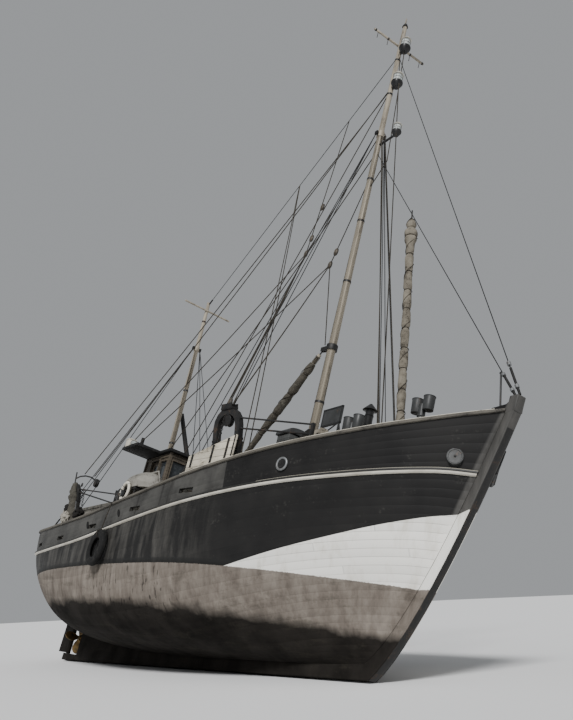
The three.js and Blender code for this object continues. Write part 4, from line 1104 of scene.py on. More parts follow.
# %% Engine casing
BASE = 2.7
CASING_SIDE = 1.762
remade("engine_block", CAST, 0.03)
casing_trim = []
for side in (1, -1):
    out, deep = side * CASING_SIDE, 0.012
    casing_trim.append(slab((-8.69, out - deep, 2.58), (-1.51, out + deep, 2.66)))
    casing_trim += [
        slab((x - 0.02, out - deep, 1.3), (x + 0.02, out + deep, 2.58)) for x in np.arange(-8.2, -1.8, 0.8)
    ]
remade("engine_casing", BUFF, 0.012, casing_trim)

LIGHT_HALF, LIGHT_LOW, LIGHT_HIGH = 0.27, 1.85, 2.33
low_bar, high_bar = (-LIGHT_HALF, LIGHT_HALF, LIGHT_LOW, 1.9), (-LIGHT_HALF, LIGHT_HALF, 2.28, LIGHT_HIGH)
side_bars = (-LIGHT_HALF, -0.23, LIGHT_LOW, LIGHT_HIGH), (0.23, LIGHT_HALF, LIGHT_LOW, LIGHT_HIGH)
frames = []
for x in (-7.6, -6.2, -2.4):
    for side in (1, -1):
        out, back = side * 1.765, side * 1.73
        for x0, x1, z0, z1 in (low_bar, high_bar, *side_bars):
            frames.append(slab((x + x0, out - 0.02, z0), (x + x1, out + 0.02, z1)))
        pane = slab((x - 0.232, back - 0.004, 1.898), (x + 0.232, back + 0.004, 2.282))
        frames.append(coat(pane, GLASS))
piece("casing_light_frames", frames, TEAK, bevel=0.004, slot="house_wood")
battens = [slab((-8.716, y - 0.05, 1.0), (-8.69, y + 0.05, 2.48)) for y in (-0.25, 0.25)]
remade("casing_door", TEAK, 0.006, battens + [ball((-8.74, -0.28, 1.75), 0.03)])
for node, side in (("skylight_lid_port", 1), ("skylight_lid_starboard", -1)):
    lights = [hoop((x, side * 0.26, 2.912), (0, 0, 1), 0.13, 0.018) for x in (-8.1, -7.5)]
    remade(node, TEAK, 0.008, lights)
print("casing trim:", len(casing_trim), "strips and battens")

# %% [markdown]
# The wooden wheelhouse stands on the casing. It is framed and boarded: corner posts,
# sills and rails stand proud of the boards, and every window has its own sash. A box
# without this trim would read as one block, because its edges are what catches light.

# %% Wheelhouse
HOUSE_X, HOUSE_HALF, SILL, HEAD = (-4.1, -2.25), 1.18, 3.4, 4.12
SIDE_PANE, DOORWAY = (-2.86, -2.4), (-3.62, -3.02)
PROUD = 0.012


def sash(x0, x1, y, z0, z1, across_x=True, wide=0.045, deep=0.018):
    sill = ((x0 - wide, z0 - wide), (x1 + wide, z0))
    head = ((x0 - wide, z1), (x1 + wide, z1 + wide))
    stiles = (((x0 - wide, z0), (x0, z1)), ((x1, z0), (x1 + wide, z1)))
    made = []
    for (a, c), (b, d) in (sill, head, *stiles):
        low, high = ((a, y - deep, c), (b, y + deep, d)) if across_x else ((y - deep, a, c), (y + deep, b, d))
        made.append(slab(low, high))
    return made


trim = []
panes = []
for y in (-0.74, 0, 0.74):
    trim += sash(y - 0.32, y + 0.32, HOUSE_X[1] + PROUD, SILL, HEAD, across_x=False)
for side in (1, -1):
    wall = side * (HOUSE_HALF + PROUD)
    trim += sash(*SIDE_PANE, wall, SILL, HEAD)
    trim += sash(*DOORWAY, wall, BASE + 0.05, 4.2)
    low, high = sorted((side * (HOUSE_HALF - 0.034), side * (HOUSE_HALF - 0.026)))
    panes.append(slab((SIDE_PANE[0], low, SILL), (SIDE_PANE[1], high, HEAD)))
    trim.append(hoop((-2.94, side * (HOUSE_HALF + 0.02), 3.75), (0, 1, 0), 0.05, 0.01, 16, 6))
trim += sash(-0.3, 0.3, HOUSE_X[0] - PROUD, SILL, HEAD, across_x=False)
panes.append(slab((HOUSE_X[0] + 0.02, -0.3, SILL), (HOUSE_X[0] + 0.028, 0.3, HEAD)))
for x in HOUSE_X:
    for y in (-HOUSE_HALF, HOUSE_HALF):
        trim.append(slab((x - 0.045, y - 0.045, BASE + 0.01), (x + 0.045, y + 0.045, 4.37)))
for z in (3.28, 4.24):
    trim.append(slab((HOUSE_X[1] - 0.02, -1.2, z), (HOUSE_X[1] + 0.03, 1.2, z + 0.06)))
    for side in (1, -1):
        low, high = sorted((side * (HOUSE_HALF - 0.02), side * (HOUSE_HALF + 0.03)))
        trim += [slab((x0, low, z), (x1, high, z + 0.06)) for x0, x1 in ((-4.08, -3.67), (-2.97, -2.27))]
remade("wheelhouse", TEAK, 0.01, trim)
piece("wheelhouse_side_panes", panes, GLASS, slot="window_glass")
remade("front_glass", GLASS, 0.0)
print("wheelhouse trim:", len(trim), "parts")

# %% [markdown]
# Each side door slides in its own track, so its panel, its finger pull and its pane
# are worked into the leaf and ride with it. The roof carries a wing on each side with
# the box of a side light, and the exhaust stack leans aft of the house.

# %% Doors, roof and stack
LEAF_Y = 1.124
LAMP_Y, LAMP_Z = 2.01, 4.62
for node, side in (("wheelhouse_door_port", 1), ("wheelhouse_door_starboard", -1)):
    face = side * LEAF_Y
    leaf = copy_of(node)
    carve(leaf, slab((-3.54, face - 0.01, 2.84), (-3.1, face + 0.01, 3.28)))
    carve(leaf, slab((-3.05, face - 0.008, 3.3), (-3.02, face + 0.008, 3.5)))
    behind = side * (LEAF_Y - 0.02)
    pane = slab((-3.51, behind - 0.004, 3.39), (-3.13, behind + 0.004, 4.06))
    finished(node, [wear(leaf, 0.004), coat(pane, GLASS)], TEAK)
roof = copy_of("wheelhouse_roof")
boxes = []
for side in (1, -1):
    y = side * LAMP_Y
    carve(roof, slab((-4.3, y - 0.2, 4.464), (-3.7, y + 0.2, 5.0)))
    boxes.append(slab((-4.18, y - 0.13, 4.45), (-3.88, y + 0.13, 4.78)))
    boxes.append(slab((-4.2, y - 0.15, 4.76), (-3.86, y + 0.15, 4.79)))
    boxes.append(rod((-3.9, y, LAMP_Z), (-3.79, y, LAMP_Z), 0.108, sides=24))
lamp_boxes = coated(WHITE, [wear(part, 0.01) for part in boxes])
finished("wheelhouse_roof", [wear(roof, 0.02), *lamp_boxes], ROOF)
remade("helm", TEAK, 0.004, smooth=50)
stack_bands = [
    hoop((-5.75, 1.15 - 0.05 * (z - BASE) / 2.45, z), (0, 0, 1), 0.096, 0.012) for z in (2.95, 3.9, 4.8)
]
remade("exhaust_stack", IRON, 0.004, stack_bands, smooth=50)
print("wheelhouse is framed and glazed")

# %% [markdown]
# A small clinker dinghy lies keel up on its skids beside the wheelhouse. Its planks
# overlap like roof tiles, so each row of the grid steps out a little at its edge.

# %% Dinghy
def clinker_dinghy(x, y, z, half, beam, depth, planks_each_side=7):
    rows = []
    count = planks_each_side * 2
    marks = sorted(k + part for k in range(count) for part in (0.0, 0.1, 0.9))
    for t in np.linspace(-1, 1, 41):
        width = 0.04 + (beam - 0.04) * (1 - abs(t) ** 2.6)
        rise = 0.12 + (depth - 0.12) * (1 - abs(t) ** 3.5)
        row = []
        for mark in marks + [count]:
            a = math.pi * mark / count
            lap = 0.010 * ((mark % 1) if mark < count / 2 else 1 - (mark % 1))
            out = (width - 0.012 + lap) * math.cos(a)
            over = (rise - 0.02 + lap) * max(math.sin(a), 0) ** 0.7
            row.append((x + t * half, y + out, z + over))
        rows.append(row)
    rows = np.array(rows)
    return tidy(laid(np.concatenate([rows, rows[:, :1]], 1)))


DINGHY_X, DINGHY_Y, DINGHY_Z, DINGHY_HALF = -2.5, -1.72, 2.81, 1.3
shell = clinker_dinghy(DINGHY_X, DINGHY_Y, DINGHY_Z, DINGHY_HALF, 0.5, 0.64)
keel_side = [slab((DINGHY_X - 0.95, DINGHY_Y - 0.025, 3.405), (DINGHY_X + 0.95, DINGHY_Y + 0.025, 3.448))]
for end in (1, -1):
    top, foot = (DINGHY_X + end * 0.93, DINGHY_Y, 3.425), (DINGHY_X + end * 1.27, DINGHY_Y, 3.02)
    keel_side.append(rod(top, foot, 0.022, sides=8))
for side in (1, -1):
    low = (DINGHY_X - 0.65, DINGHY_Y + side * 0.475 - 0.018, DINGHY_Z)
    keel_side.append(slab(low, (DINGHY_X + 0.65, DINGHY_Y + side * 0.475 + 0.018, DINGHY_Z + 0.05)))
# Chalky grey paint on larch: dull, with a little grain along the planks
SKIFF = simple_finish(
    "chalky_grey_paint_on_larch_planks", "#8E8B83", "#73706A", "#55524C", 3.0, (0.4, 1, 1), 0.7
)
piece("clinker_dinghy", [shell, *keel_side], SKIFF, bevel=0.003, stands_for=["dinghy"], slot="boat_paint")
remade("dinghy_skids", IRON, 0.006)
print("the dinghy lies keel up on its skids")

# %% [markdown]
# Both masts are single spruce spars, oiled and banded with iron, and both taper and
# rake a little. The bands, cleats and crossbar fittings are placed on the spar by its
# own centre and radius at their height, so they sit on it wherever it leans.

# %% Masts
CROSSBAR_Z = 18.9


def fore_x(z):
    return 4.26 + 0.16 * (z - 1.4) / 17.7


def mizzen_x(z):
    return -5.12 - 0.56 * (z - 2.7) / 9.1


def bands(centre_x, heights, radius_at):
    made = []
    for z in heights:
        x = centre_x(z)
        made.append(rod((x, 0, z - 0.035), (x, 0, z + 0.035), radius_at(z) + 0.009, sides=20))
    return made


def fore_radius(z):
    return 0.15 - 0.07 * (z - 0.9) / 18.2


def mizzen_radius(z):
    return 0.12 - 0.055 * (z - 2.7) / 9.1


iron_bands = bands(fore_x, (3.2, 5.4, 9.4, 11.6, 13.2, 16.7, 18.2), fore_radius)
bar_x = fore_x(CROSSBAR_Z) - 0.09
knobs = [ball((bar_x, side * y, CROSSBAR_Z), 0.052, rings=6) for side in (1, -1) for y in (0.5, 1.06)]
droppers = [rod((bar_x, y, 18.62), (bar_x, y, 18.88), 0.012, sides=6) for y in (-0.95, -0.5, 0.5, 0.95)]
pole = [rod((fore_x(19), 0, 19.0), (fore_x(19.8), 0, 19.76), 0.08, 0.07, sides=20)]
truck = [rod((fore_x(19.8), 0, 19.74), (fore_x(19.8), 0, 19.86), 0.105, 0.06, sides=20)]
cleats = []
for z in (2.6, 3.0):
    for y in (0.15, -0.15):
        cleats.append(slab((fore_x(z) - 0.02, y - 0.02, z), (fore_x(z) + 0.02, y + 0.02, z + 0.22)))
on_mast = coated(IRON, iron_bands + truck + knobs + droppers + cleats)
remade("foremast", SPRUCE, 0.0, pole + on_mast, smooth=50)
iron_bands = bands(mizzen_x, (3.4, 5.6, 7.8, 10.9), mizzen_radius)
remade("mizzen_mast", SPRUCE, 0.0, coated(IRON, iron_bands), smooth=50)
print("foremast is", round(fore_radius(0.9) * 2000), "mm thick at the deck")

# %% [markdown]
# The foremast carries three oil lanterns. Each is a sheet-iron bowl and cap with a
# glass cylinder between them, inside a guard of bars, and stands on an arm. Bowl, cap
# and glass are turned forms, so each is a short profile laid round an axis.

# %% Lanterns
def spun(profile, centre, sides=20):
    turn = np.linspace(0, 2 * np.pi, sides + 1)
    rings = [[(r * math.cos(a), r * math.sin(a), h) for a in turn] for r, h in profile]
    return tidy(laid(np.array(rings) + np.array(centre)), close=False)


# Clear drawn glass of the lanterns, greyed by salt
LAMP = simple_finish(
    "salt_greyed_lantern_glass", "#C4C8C5", "#A5AAA8", "#80827F", 9.0, roughness=0.25, relief=0.001
)
# Sheet iron under black gloss: smooth, with a clear highlight and little rust
BLACK_GLOSS = simple_finish(
    "black_gloss_on_sheet_iron", "#1B1B1C", "#292929", "#463A32", 4.0, roughness=0.34, wear_from=0.68
)
BOWL = ((0.001, 0), (0.09, 0), (0.165, 0.13), (0.165, 0.18), (0.13, 0.19), (0.001, 0.19))
CAP = ((0.001, 0.43), (0.14, 0.43), (0.15, 0.44), (0.1, 0.5), (0.05, 0.54), (0.001, 0.545))
CYLINDER = ((0.118, 0.18), (0.124, 0.31), (0.118, 0.44))
GUARD_R = 0.132
LANTERNS = {  # height, reach forward of the mast, size
    "masthead_lantern": (18.4, 0.28, 1.22),
    "upper_lantern": (16.85, 0.28, 1.22),
    "steaming_lantern": (14.5, 0.9, 0.95),
}
for node, (z, reach, size) in LANTERNS.items():
    centre = (fore_x(z) + reach, 0, z)
    bowl, cap, glass = (
        spun([(r * size, h * size) for r, h in form], centre) for form in (BOWL, CAP, CYLINDER)
    )
    guard = [
        hoop((centre[0], 0, z + h * size), (0, 0, 1), GUARD_R * size, 0.006, 20, 6)
        for h in (0.22, 0.31, 0.4)
    ]
    for a in np.radians(range(0, 360, 60)):
        x, y = centre[0] + GUARD_R * size * math.cos(a), GUARD_R * size * math.sin(a)
        guard.append(rod((x, y, z + 0.18 * size), (x, y, z + 0.44 * size), 0.005, sides=6))
    arm = slab((fore_x(z) + 0.1, -0.03, z + 0.03), (centre[0] - 0.05, 0.03, z + 0.08))
    finished(node, [bowl, coat(cap, WHITE), coat(glass, LAMP), arm, *coated(ZINC, guard)], BLACK_GLOSS)
print("lanterns:", len(LANTERNS))

# %% [markdown]
# A rope is a row of points with a ring of vertices round each. The ring is carried on
# from one point to the next without twisting, so a thin rope stays smooth in a bend. A
# taut rope still hangs through by a few millimetres a metre, and it hangs straight down
# on the ground, though the boat lies heeled.

# %% Rope, block and chain
DOWN = UPRIGHT.to_3x3() @ Vector((0, 0, -1))


def rope(points, radius, sides=6):
    points = np.asarray(points, float)
    radius = np.broadcast_to(radius, len(points))
    way = np.gradient(points, axis=0)
    way /= np.linalg.norm(way, axis=1, keepdims=True)
    side = np.cross(way[0], (0.31, 0.86, 0.41))
    turn = np.linspace(0, 2 * np.pi, sides + 1)[:, None]
    rings = []
    for here, forward, size in zip(points, way, radius):
        side = side - forward * side.dot(forward)
        side /= np.linalg.norm(side)
        rings.append(here + size * (np.cos(turn) * side + np.sin(turn) * np.cross(forward, side)))
    return tidy(laid(rings))


def hung(a, b, sag=0.0, count=9):
    t = np.linspace(0, 1, count)[:, None]
    return np.array(a) * (1 - t) + np.array(b) * t + 4 * sag * t * (1 - t) * np.array(DOWN)


def pulley(centre, size=0.24):
    shell = ball(centre, size / 2, (0.75, 0.5, 1.15), rings=7)
    strap = coat(hoop(centre, (0, 1, 0), size * 0.5, 0.012, 16, 5), IRON)
    return [shell, strap]


def chain(a, b, link=0.075):
    a, b = Vector(a), Vector(b)
    count = max(2, round((b - a).length / (link * 0.72)))
    first = (b - a).normalized().orthogonal()
    second = (b - a).normalized().cross(first)
    made = []
    for i in range(count):
        made.append(
            hoop(a.lerp(b, (i + 0.5) / count), (first, second)[i % 2], link * 0.42, link * 0.11, 10, 5)
        )
    return made


print("down, in the boat's frame:", DOWN.to_tuple(2))

# %% [markdown]
# The standing rigging is wire, set up with bottle screws on a bar along the rail. Its
# solids have the true size already, so they only take the finish. The gallows' places
# come next, because the running rigging leads to them.

# %% Standing rigging and the gallows' places
SHROUDS = [mast + "_shrouds_" + side for mast in ("fore", "mizzen") for side in ("port", "starboard")]
for node in (*SHROUDS, "topmast_stay", "forestay", "triatic_stay"):
    remade(node, WIRE, 0.0, smooth=60)


def arch_place(x, y, yaw, lean):
    turn = Matrix.Rotation(math.radians(yaw), 4, "Z") @ Matrix.Rotation(math.radians(lean), 4, "X")
    return Matrix.Translation((x, y, deck_height(x))) @ turn


FORE_ARCH = arch_place(4.65, -2.43, 7.5, 12.5)
AFT_ARCH = arch_place(-5.45, -2.5, -2, 12.5)


def foredeck_height(x, y=0.0):
    fore_s = steps(BREAK_S, float(LAST))
    s = np.interp(x, [edge(s, rail_z(s) - DECK_UNDER_RAIL)[0] for s in fore_s], fore_s)
    half = edge(s, rail_z(s) - DECK_UNDER_RAIL)[1]
    return rail_z(s) - DECK_UNDER_RAIL + DECK_ON_EDGE + CAMBER * half * (1 - (y / half) ** 2)


def on_arch(x, y, z):
    return tuple(FORE_ARCH @ Vector((x, y, z)))


print("fore gallows stand at", FORE_ARCH.translation.to_tuple(2))

# %% [markdown]
# The running rigging is manila: pendants, falls and halyards that lead from the foremast
# to the gallows, the rail, the wheelhouse and the foredeck. Two blocks hang in the air
# between mast and gallows, and most of the lines meet there. Every rope runs straight
# between two real points, as in the photograph.

# %% Running rigging
PURCHASE, WHIP = (1.37, 0, 11.52), (3.11, 0, 10.45)
lines = [  # from, to
    ((2.12, 0, 16.85), PURCHASE),
    ((fore_x(15) - 0.1, 0, 14.95), PURCHASE),
    (PURCHASE, on_arch(-0.16, 0, 2.3)),
    (PURCHASE, on_arch(0.02, -0.05, 2.3)),
    (PURCHASE, (-3.95, -1.95, 4.78)),
    (PURCHASE, (-2.35, 0.1, 4.46)),
    ((fore_x(13.2) - 0.08, 0, 13.2), WHIP),
    (WHIP, on_arch(0.12, 0, 2.3)),
    (WHIP, on_arch(0.2, -0.05, 2.28)),
    (WHIP, (fore_x(7.3) - 0.3, -0.07, 7.3)),
    (WHIP, (-2.98, -2.1, 4.46)),
    ((fore_x(14.2) - 0.09, 0, 14.2), (-2.3, -1.25, 4.46)),
    ((-0.37, 0, 15.2), (5.75, -2.62, 2.78)),
    ((-0.4, 0, 15.18), (5.5, -2.66, 2.75)),
    ((fore_x(16.85) - 0.08, 0, 16.8), (-2.2, -0.75, 4.46)),
    ((fore_x(16.9) - 0.08, 0.02, 16.95), (-5.2, -2.87, 3.36)),
    ((fore_x(16.9) - 0.08, -0.02, 16.9), (-4.5, -2.74, 3.24)),
    ((fore_x(14.9) + 0.13, 0.03, 14.88), (7.55, 0.03, foredeck_height(7.55))),
    ((fore_x(14.9) + 0.13, -0.03, 14.88), (7.76, -0.1, foredeck_height(7.76))),
    ((fore_x(15) + 0.16, 0.06, 15.0), (8.05, 0.25, foredeck_height(8.05))),
    ((fore_x(18.3) + 0.1, 0, 18.3), (8.02, -0.28, foredeck_height(8.02))),
    ((fore_x(18.4) + 0.3, 0, 18.42), (fore_x(13.6) + 0.72, 0, 13.6)),
    ((fore_x(13.6) + 0.72, 0, 13.6), (fore_x(12.9) + 0.1, 0, 12.9)),
]
ROPE_R, SAG_SHARE = 0.016, 0.004
parts = [rope(hung(a, b, SAG_SHARE * math.dist(a, b)), ROPE_R) for a, b in lines]
for spot in (PURCHASE, (1.5, 0, 12.1), (1.72, 0, 13.3), WHIP, (3.3, 0, 10.87), on_arch(0, 0, 2.36)):
    shell, strap = pulley(spot)
    parts += [coat(shell, TEAK), strap]
for x, y in ((7.55, 0.03), (7.76, -0.1), (8.05, 0.25), (8.02, -0.28)):
    deck = foredeck_height(x)
    parts.append(coat(slab((x - 0.12, y - 0.02, deck - 0.02), (x + 0.12, y + 0.02, deck + 0.05)), IRON))
piece("running_rigging", parts, MANILA, slot="net_twine", smooth=60)
longest = max(math.dist(a, b) for a, b in lines)
print("running rigging:", len(lines), "lines, longest", round(longest, 1), "m")

# %% [markdown]
# Flax canvas bulges between its lashings and wrinkles where it has cloth to spare. The
# Cloth modifier does both: the mesh is pinned where it is tied, blown up a little with
# an eighth more cloth than it needs, and its movement is capped, so that the bundle
# keeps its size.

# %% Canvas that swells
CLOTH_FRAMES = 20


def swell(obj, tied, voxel, cap, pressure=40.0, spare=0.12):
    apply(obj, "REMESH", mode="VOXEL", voxel_size=voxel)
    before = np.array([vertex.co for vertex in obj.data.vertices])
    group = obj.vertex_groups.new(name="lashed")
    group.add([int(i) for i in np.flatnonzero(tied(before))], 1.0, "REPLACE")
    cloth = obj.modifiers.new("cloth", "CLOTH")
    cloth.settings.vertex_group_mass = group.name
    cloth.settings.use_pressure = True
    cloth.settings.uniform_pressure_force = pressure
    cloth.settings.shrink_min = -spare
    cloth.settings.effector_weights.gravity = 0
    for number in range(1, CLOTH_FRAMES + 1):
        bpy.context.scene.frame_set(number)
    select_only(obj)
    bpy.ops.object.modifier_apply(modifier=cloth.name)
    bpy.context.scene.frame_set(1)
    after = np.array([vertex.co for vertex in obj.data.vertices])
    move = after - before
    far = np.linalg.norm(move, axis=1, keepdims=True)
    after = before + move * np.minimum(1, cap / np.maximum(far, 1e-9))
    obj.data.vertices.foreach_set("co", after.ravel())
    obj.vertex_groups.clear()
    return float(np.median(far))


print("cloth runs for", CLOTH_FRAMES, "frames")

# %% [markdown]
# A furled sail is a slack tube along its stay or its boom, drawn in where it is tied. The
# deep folds that wind round it are pressed in after the swelling, as sums of waves round
# and along it, and a lashing runs over it in a long helix.

# %% A sail rolled and lashed
def around(a, b):
    axis = (b - a) / np.linalg.norm(b - a)
    first = np.cross(axis, (0, 1, 0))
    first /= np.linalg.norm(first)
    return axis, first, np.cross(axis, first)


def furled(a, b, profile, tie_gap=0.62, fold_size=0.055, voxel=0.024, cap=0.018):
    a, b = np.array(a), np.array(b)
    length = np.linalg.norm(b - a)
    ties = np.arange(tie_gap / 2, length, tie_gap)
    run = np.linspace(0, length, 240)
    size = np.interp(run / length, *np.transpose(profile))
    size *= 0.9 - 0.16 * np.exp(-((np.abs(run[:, None] - ties).min(1) / 0.07) ** 2))
    made = rope(a + (b - a) * run[:, None] / length, size, sides=30)
    axis, first, second = around(a, b)

    def tied(spots):
        return np.abs(((spots - a) @ axis)[:, None] - ties).min(1) < 0.03

    grown = swell(made, tied, voxel, cap)
    print("canvas swelled by", round(grown * 1000), "mm")
    spots = np.array([vertex.co for vertex in made.data.vertices])
    height = (spots - a) @ axis
    off = spots - a - height[:, None] * axis
    turn = np.arctan2(off @ second, off @ first)
    fold = 0.55 * np.sin(4 * turn + 5.5 * height) + 0.3 * np.sin(7 * turn - 3.1 * height + 1)
    fold += 0.25 * np.sin(11 * height + turn)
    spots += off * (fold_size * fold)[:, None]
    made.data.vertices.foreach_set("co", spots.ravel())
    made = apply(made, "SUBSURF", levels=1, render_levels=1)
    wind = 2 * np.pi * run[:, None] / (tie_gap * 1.5)
    reach = np.interp(run / length, *np.transpose(profile))[:, None] * 0.9 + 0.012
    cords = [rope(a + run[:, None] * axis + reach * (np.cos(wind) * first + np.sin(wind) * second), 0.009, 5)]
    for tie in ties:
        tight = float(np.interp(tie / length, *np.transpose(profile))) * 0.8
        cords.append(hoop(a + axis * tie, axis, tight, 0.011, 24, 6))
    return made, cords


print("folds are pressed in after the swelling")

# %% [markdown]
# The staysail is rolled up its own stay, with a fat roll of spare canvas near its head,
# and is held at the top by an iron hank and at its foot by a pin on deck.

# %% Furled staysail
FOOT_X = 8.33
SAIL_HEAD = (6.99, 0, 10.56)
sail_foot = (FOOT_X, 0, foredeck_height(FOOT_X) + 0.06)
# Share of its length, and radius
FURL = [
    (0, 0.06), (0.04, 0.112), (0.86, 0.12), (0.89, 0.13), (0.91, 0.205), (0.94, 0.19), (0.956, 0.085),
    (0.975, 0.15), (1, 0.09),
]
canvas, cords = furled(sail_foot, SAIL_HEAD, FURL)
sail = piece(
    "furled_staysail_canvas", canvas, CANVAS, stands_for=["furled_staysail"], slot="sail_cloth", smooth=60
)
hanks = [rod((SAIL_HEAD[0], 0, 10.55), (6.93, 0, 10.9), 0.02, sides=8)]
hanks.append(rod((FOOT_X, 0, foredeck_height(FOOT_X)), sail_foot, 0.03, sides=8))
piece("staysail_lashings", cords + coated(IRON, hanks), MANILA, slot="net_twine", smooth=60)
print("staysail bundle:", len(sail.data.polygons), "faces")

# %% [markdown]
# The boom turns on an iron gooseneck on the foremast and hangs down abaft it, with its
# sail stowed along it. Its inner end is an iron eye on the gooseneck's pin. Sail and
# lashings ride on the boom's body, so they swing and lift with it.

# %% Boom and gooseneck
remade("gooseneck", IRON, 0.004, smooth=40)
JAW = Vector((fore_x(7.15), 0, 7.15))
SLEW = Matrix.Translation(JAW) @ Matrix.Rotation(math.radians(11.9), 4, "Z")
PIN_X, BOOM_REACH, BOOM_DROP = 0.33, 3.873, 4.8


def on_boom(share):
    return SLEW @ Vector((-(PIN_X + (BOOM_REACH - PIN_X) * share), 0, -BOOM_DROP * share))


eye = rod((-PIN_X, -0.026, 0), (-PIN_X, 0.026, 0), 0.06, sides=24)
carve(eye, rod((-PIN_X, -0.08, 0), (-PIN_X, 0.08, 0), 0.024, sides=24))
eye.data.transform(SLEW)
tongue = rod(on_boom(0.008), on_boom(0.06), 0.024, sides=10)
spar = rod(on_boom(0.03), on_boom(1), 0.06, 0.048, sides=20)
boom_way = on_boom(1) - on_boom(0)
wraps = [hoop(on_boom(0.045 + 0.006 * i), boom_way, 0.068, 0.012, 20, 6) for i in range(7)]
tip = [hoop(on_boom(share), boom_way, 0.054, 0.012, 20, 6) for share in (0.97, 0.985)]
boom_parts = [spar, *coated(IRON, (eye, tongue, *tip)), *coated(MANILA, wraps)]
piece("boom_spar", boom_parts, SPRUCE, body="boom", stands_for=["boom"], slot="spar_wood", smooth=50)
STOWED = [(0, 0.1), (0.04, 0.13), (0.35, 0.138), (0.5, 0.112), (0.75, 0.076), (1, 0.058)]
canvas, cords = furled(on_boom(0.088), on_boom(0.93), STOWED, 0.75, cap=0.012)
sail = piece("boom_sail_canvas", canvas, TANNED, body="boom", slot="sail_cloth", smooth=60)
piece("boom_lashings", cords, MANILA, body="boom", slot="net_twine", smooth=60)
print("boom is", round(boom_way.length, 2), "m from pin to tip")

# %% [markdown]
# On deck stand the fish hatch with its boarded cover, the trawl winch with its two
# drums of warp, and the windlass on the foredeck. The castings are oily iron, and the
# wire lies in close turns on the drums.

# %% Hatch, winch and windlass
HATCH_X = 2.8
hatch_deck = deck_height(HATCH_X)
coaming_trim = []
for side in (1, -1):
    low, high = sorted((side * 0.768, side * 0.79))
    coaming_trim.append(slab((2.1, low, hatch_deck + 0.42), (3.5, high, hatch_deck + 0.48)))
remade("hatch_coaming", BUFF, 0.012, coaming_trim)
cover_top = hatch_deck + 0.62 + 0.066
battens = [
    slab((2.07, y - 0.04, cover_top - 0.008), (3.53, y + 0.04, cover_top + 0.022)) for y in (-0.55, 0, 0.55)
]
rings = [
    hoop((x, y, cover_top + 0.012), (0, 0, 1), 0.05, 0.009, 16, 6)
    for x in (2.3, 3.3)
    for y in (-0.28, 0.28)
]
remade("hatch_cover", DECK, 0.008, battens + coated(IRON, rings))

WINCH_X, WINCH_Z = -0.65, 1.83
WARP_GAP = 0.027
bolts = []
for side in (1, -1):
    for x, z in ((-0.25, 1.2), (0.25, 1.2), (-0.1, 1.9), (0.1, 1.9)):
        bolts.append(rod((WINCH_X + x, side * 1.178, z), (WINCH_X + x, side * 1.198, z), 0.022, sides=6))
remade("winch_frame", IRON, 0.01, bolts)


def ring_about(x, y, z, major, minor, around=24, sides=6):
    return hoop((x, y, z), (0, 1, 0), major, minor, around, sides)


turns = []
rims = []
for side in (1, -1):
    turns.append(rod((WINCH_X, side * 0.245, WINCH_Z), (WINCH_X, side * 1.025, WINCH_Z), 0.292, sides=28))
    turns += [
        ring_about(WINCH_X, side * y, WINCH_Z, 0.295, 0.013, sides=5)
        for y in np.arange(0.26, 1.02, WARP_GAP)
    ]
    rims += [ring_about(WINCH_X, side * y, WINCH_Z, 0.386, 0.014, 32) for y in (0.205, 1.065)]
remade("winch_drums", CAST, 0.004, coated(WIRE, turns) + rims, smooth=40)

LASS_X = 8.95
lass_z = foredeck_height(LASS_X) + 0.42
remade("windlass_frame", IRON, 0.008)
barrel = [ring_about(LASS_X, y, lass_z, 0.152, 0.012) for y in (-0.35, -0.18, 0, 0.18, 0.35)]
barrel += [ring_about(LASS_X, y, lass_z, 0.132, 0.01, 20, 5) for y in (0.6, -0.6)]
remade("windlass_barrel", CAST, 0.004, barrel, smooth=40)
print("warp on the drums:", len(turns) - 2, "turns in the top layer")

# %% [markdown]
# Two wrought-iron gallows stand inside the starboard rail. Each is an arch of heavy
# section, plated on its face, with a sheave under its crown that the trawl warp runs
# over. The forward one carries three rollers on top, and its legs are patched with
# lighter paint. Its trim is drawn round its own foot, and then put in place with it.

# %% Fore gallows
def in_place(place, *parts):
    for part in parts:
        part.data.transform(place)
    return list(parts)


FORE_RISE, FORE_LEG = 2.22, 0.465
plates = [slab((-0.24, -0.1, FORE_RISE - 0.05), (0.24, 0.1, FORE_RISE + 0.012))]
plates += [
    slab((-0.22, side * 0.1 - 0.008, FORE_RISE - 0.03), (0.22, side * 0.1 + 0.008, FORE_RISE + 0.1))
    for side in (1, -1)
]
rollers = [
    rod((x, -0.09, FORE_RISE + 0.06), (x, 0.09, FORE_RISE + 0.06), 0.04, sides=16)
    for x in (-0.13, 0.0, 0.13)
]
wheel_z = FORE_RISE - 0.17 - 0.15 - 0.01
sheave = [ring_about(0, y, wheel_z, 0.15, 0.018, 28) for y in (0.055, -0.055)]
patch = [slab((0.39, -0.083, 0.5), (0.54, -0.07, 1.32)), slab((0.39, 0.07, 0.5), (0.54, 0.083, 1.32))]
flange = [slab((0.545, -0.09, -0.1), (0.562, 0.09, 1.3)), slab((-0.562, -0.09, -0.1), (-0.545, 0.09, 1.3))]
collars = []
heads = []
for leg in (-FORE_LEG, FORE_LEG):
    collars += [slab((leg - 0.09, -0.088, z), (leg + 0.09, 0.088, z + 0.06)) for z in (0.42, 1.34)]
    for x in (leg - 0.035, leg + 0.035):
        heads += [rod((x, -0.095, z), (x, 0.095, z), 0.018, sides=6) for z in (0.45, 0.75, 1.05, 1.37)]
trim = in_place(FORE_ARCH, *plates, *rollers, *sheave, *coated(ZINC, patch), *flange, *collars, *heads)
remade("fore_gallows", IRON, 0.01, trim)
print("fore gallows trim:", len(trim), "parts")

# %% [markdown]
# The after gallows is lighter. An iron arm at the rail beside it carries the quarter
# block, a small pulley hangs near it, and two lengths of chain hang down over the side.

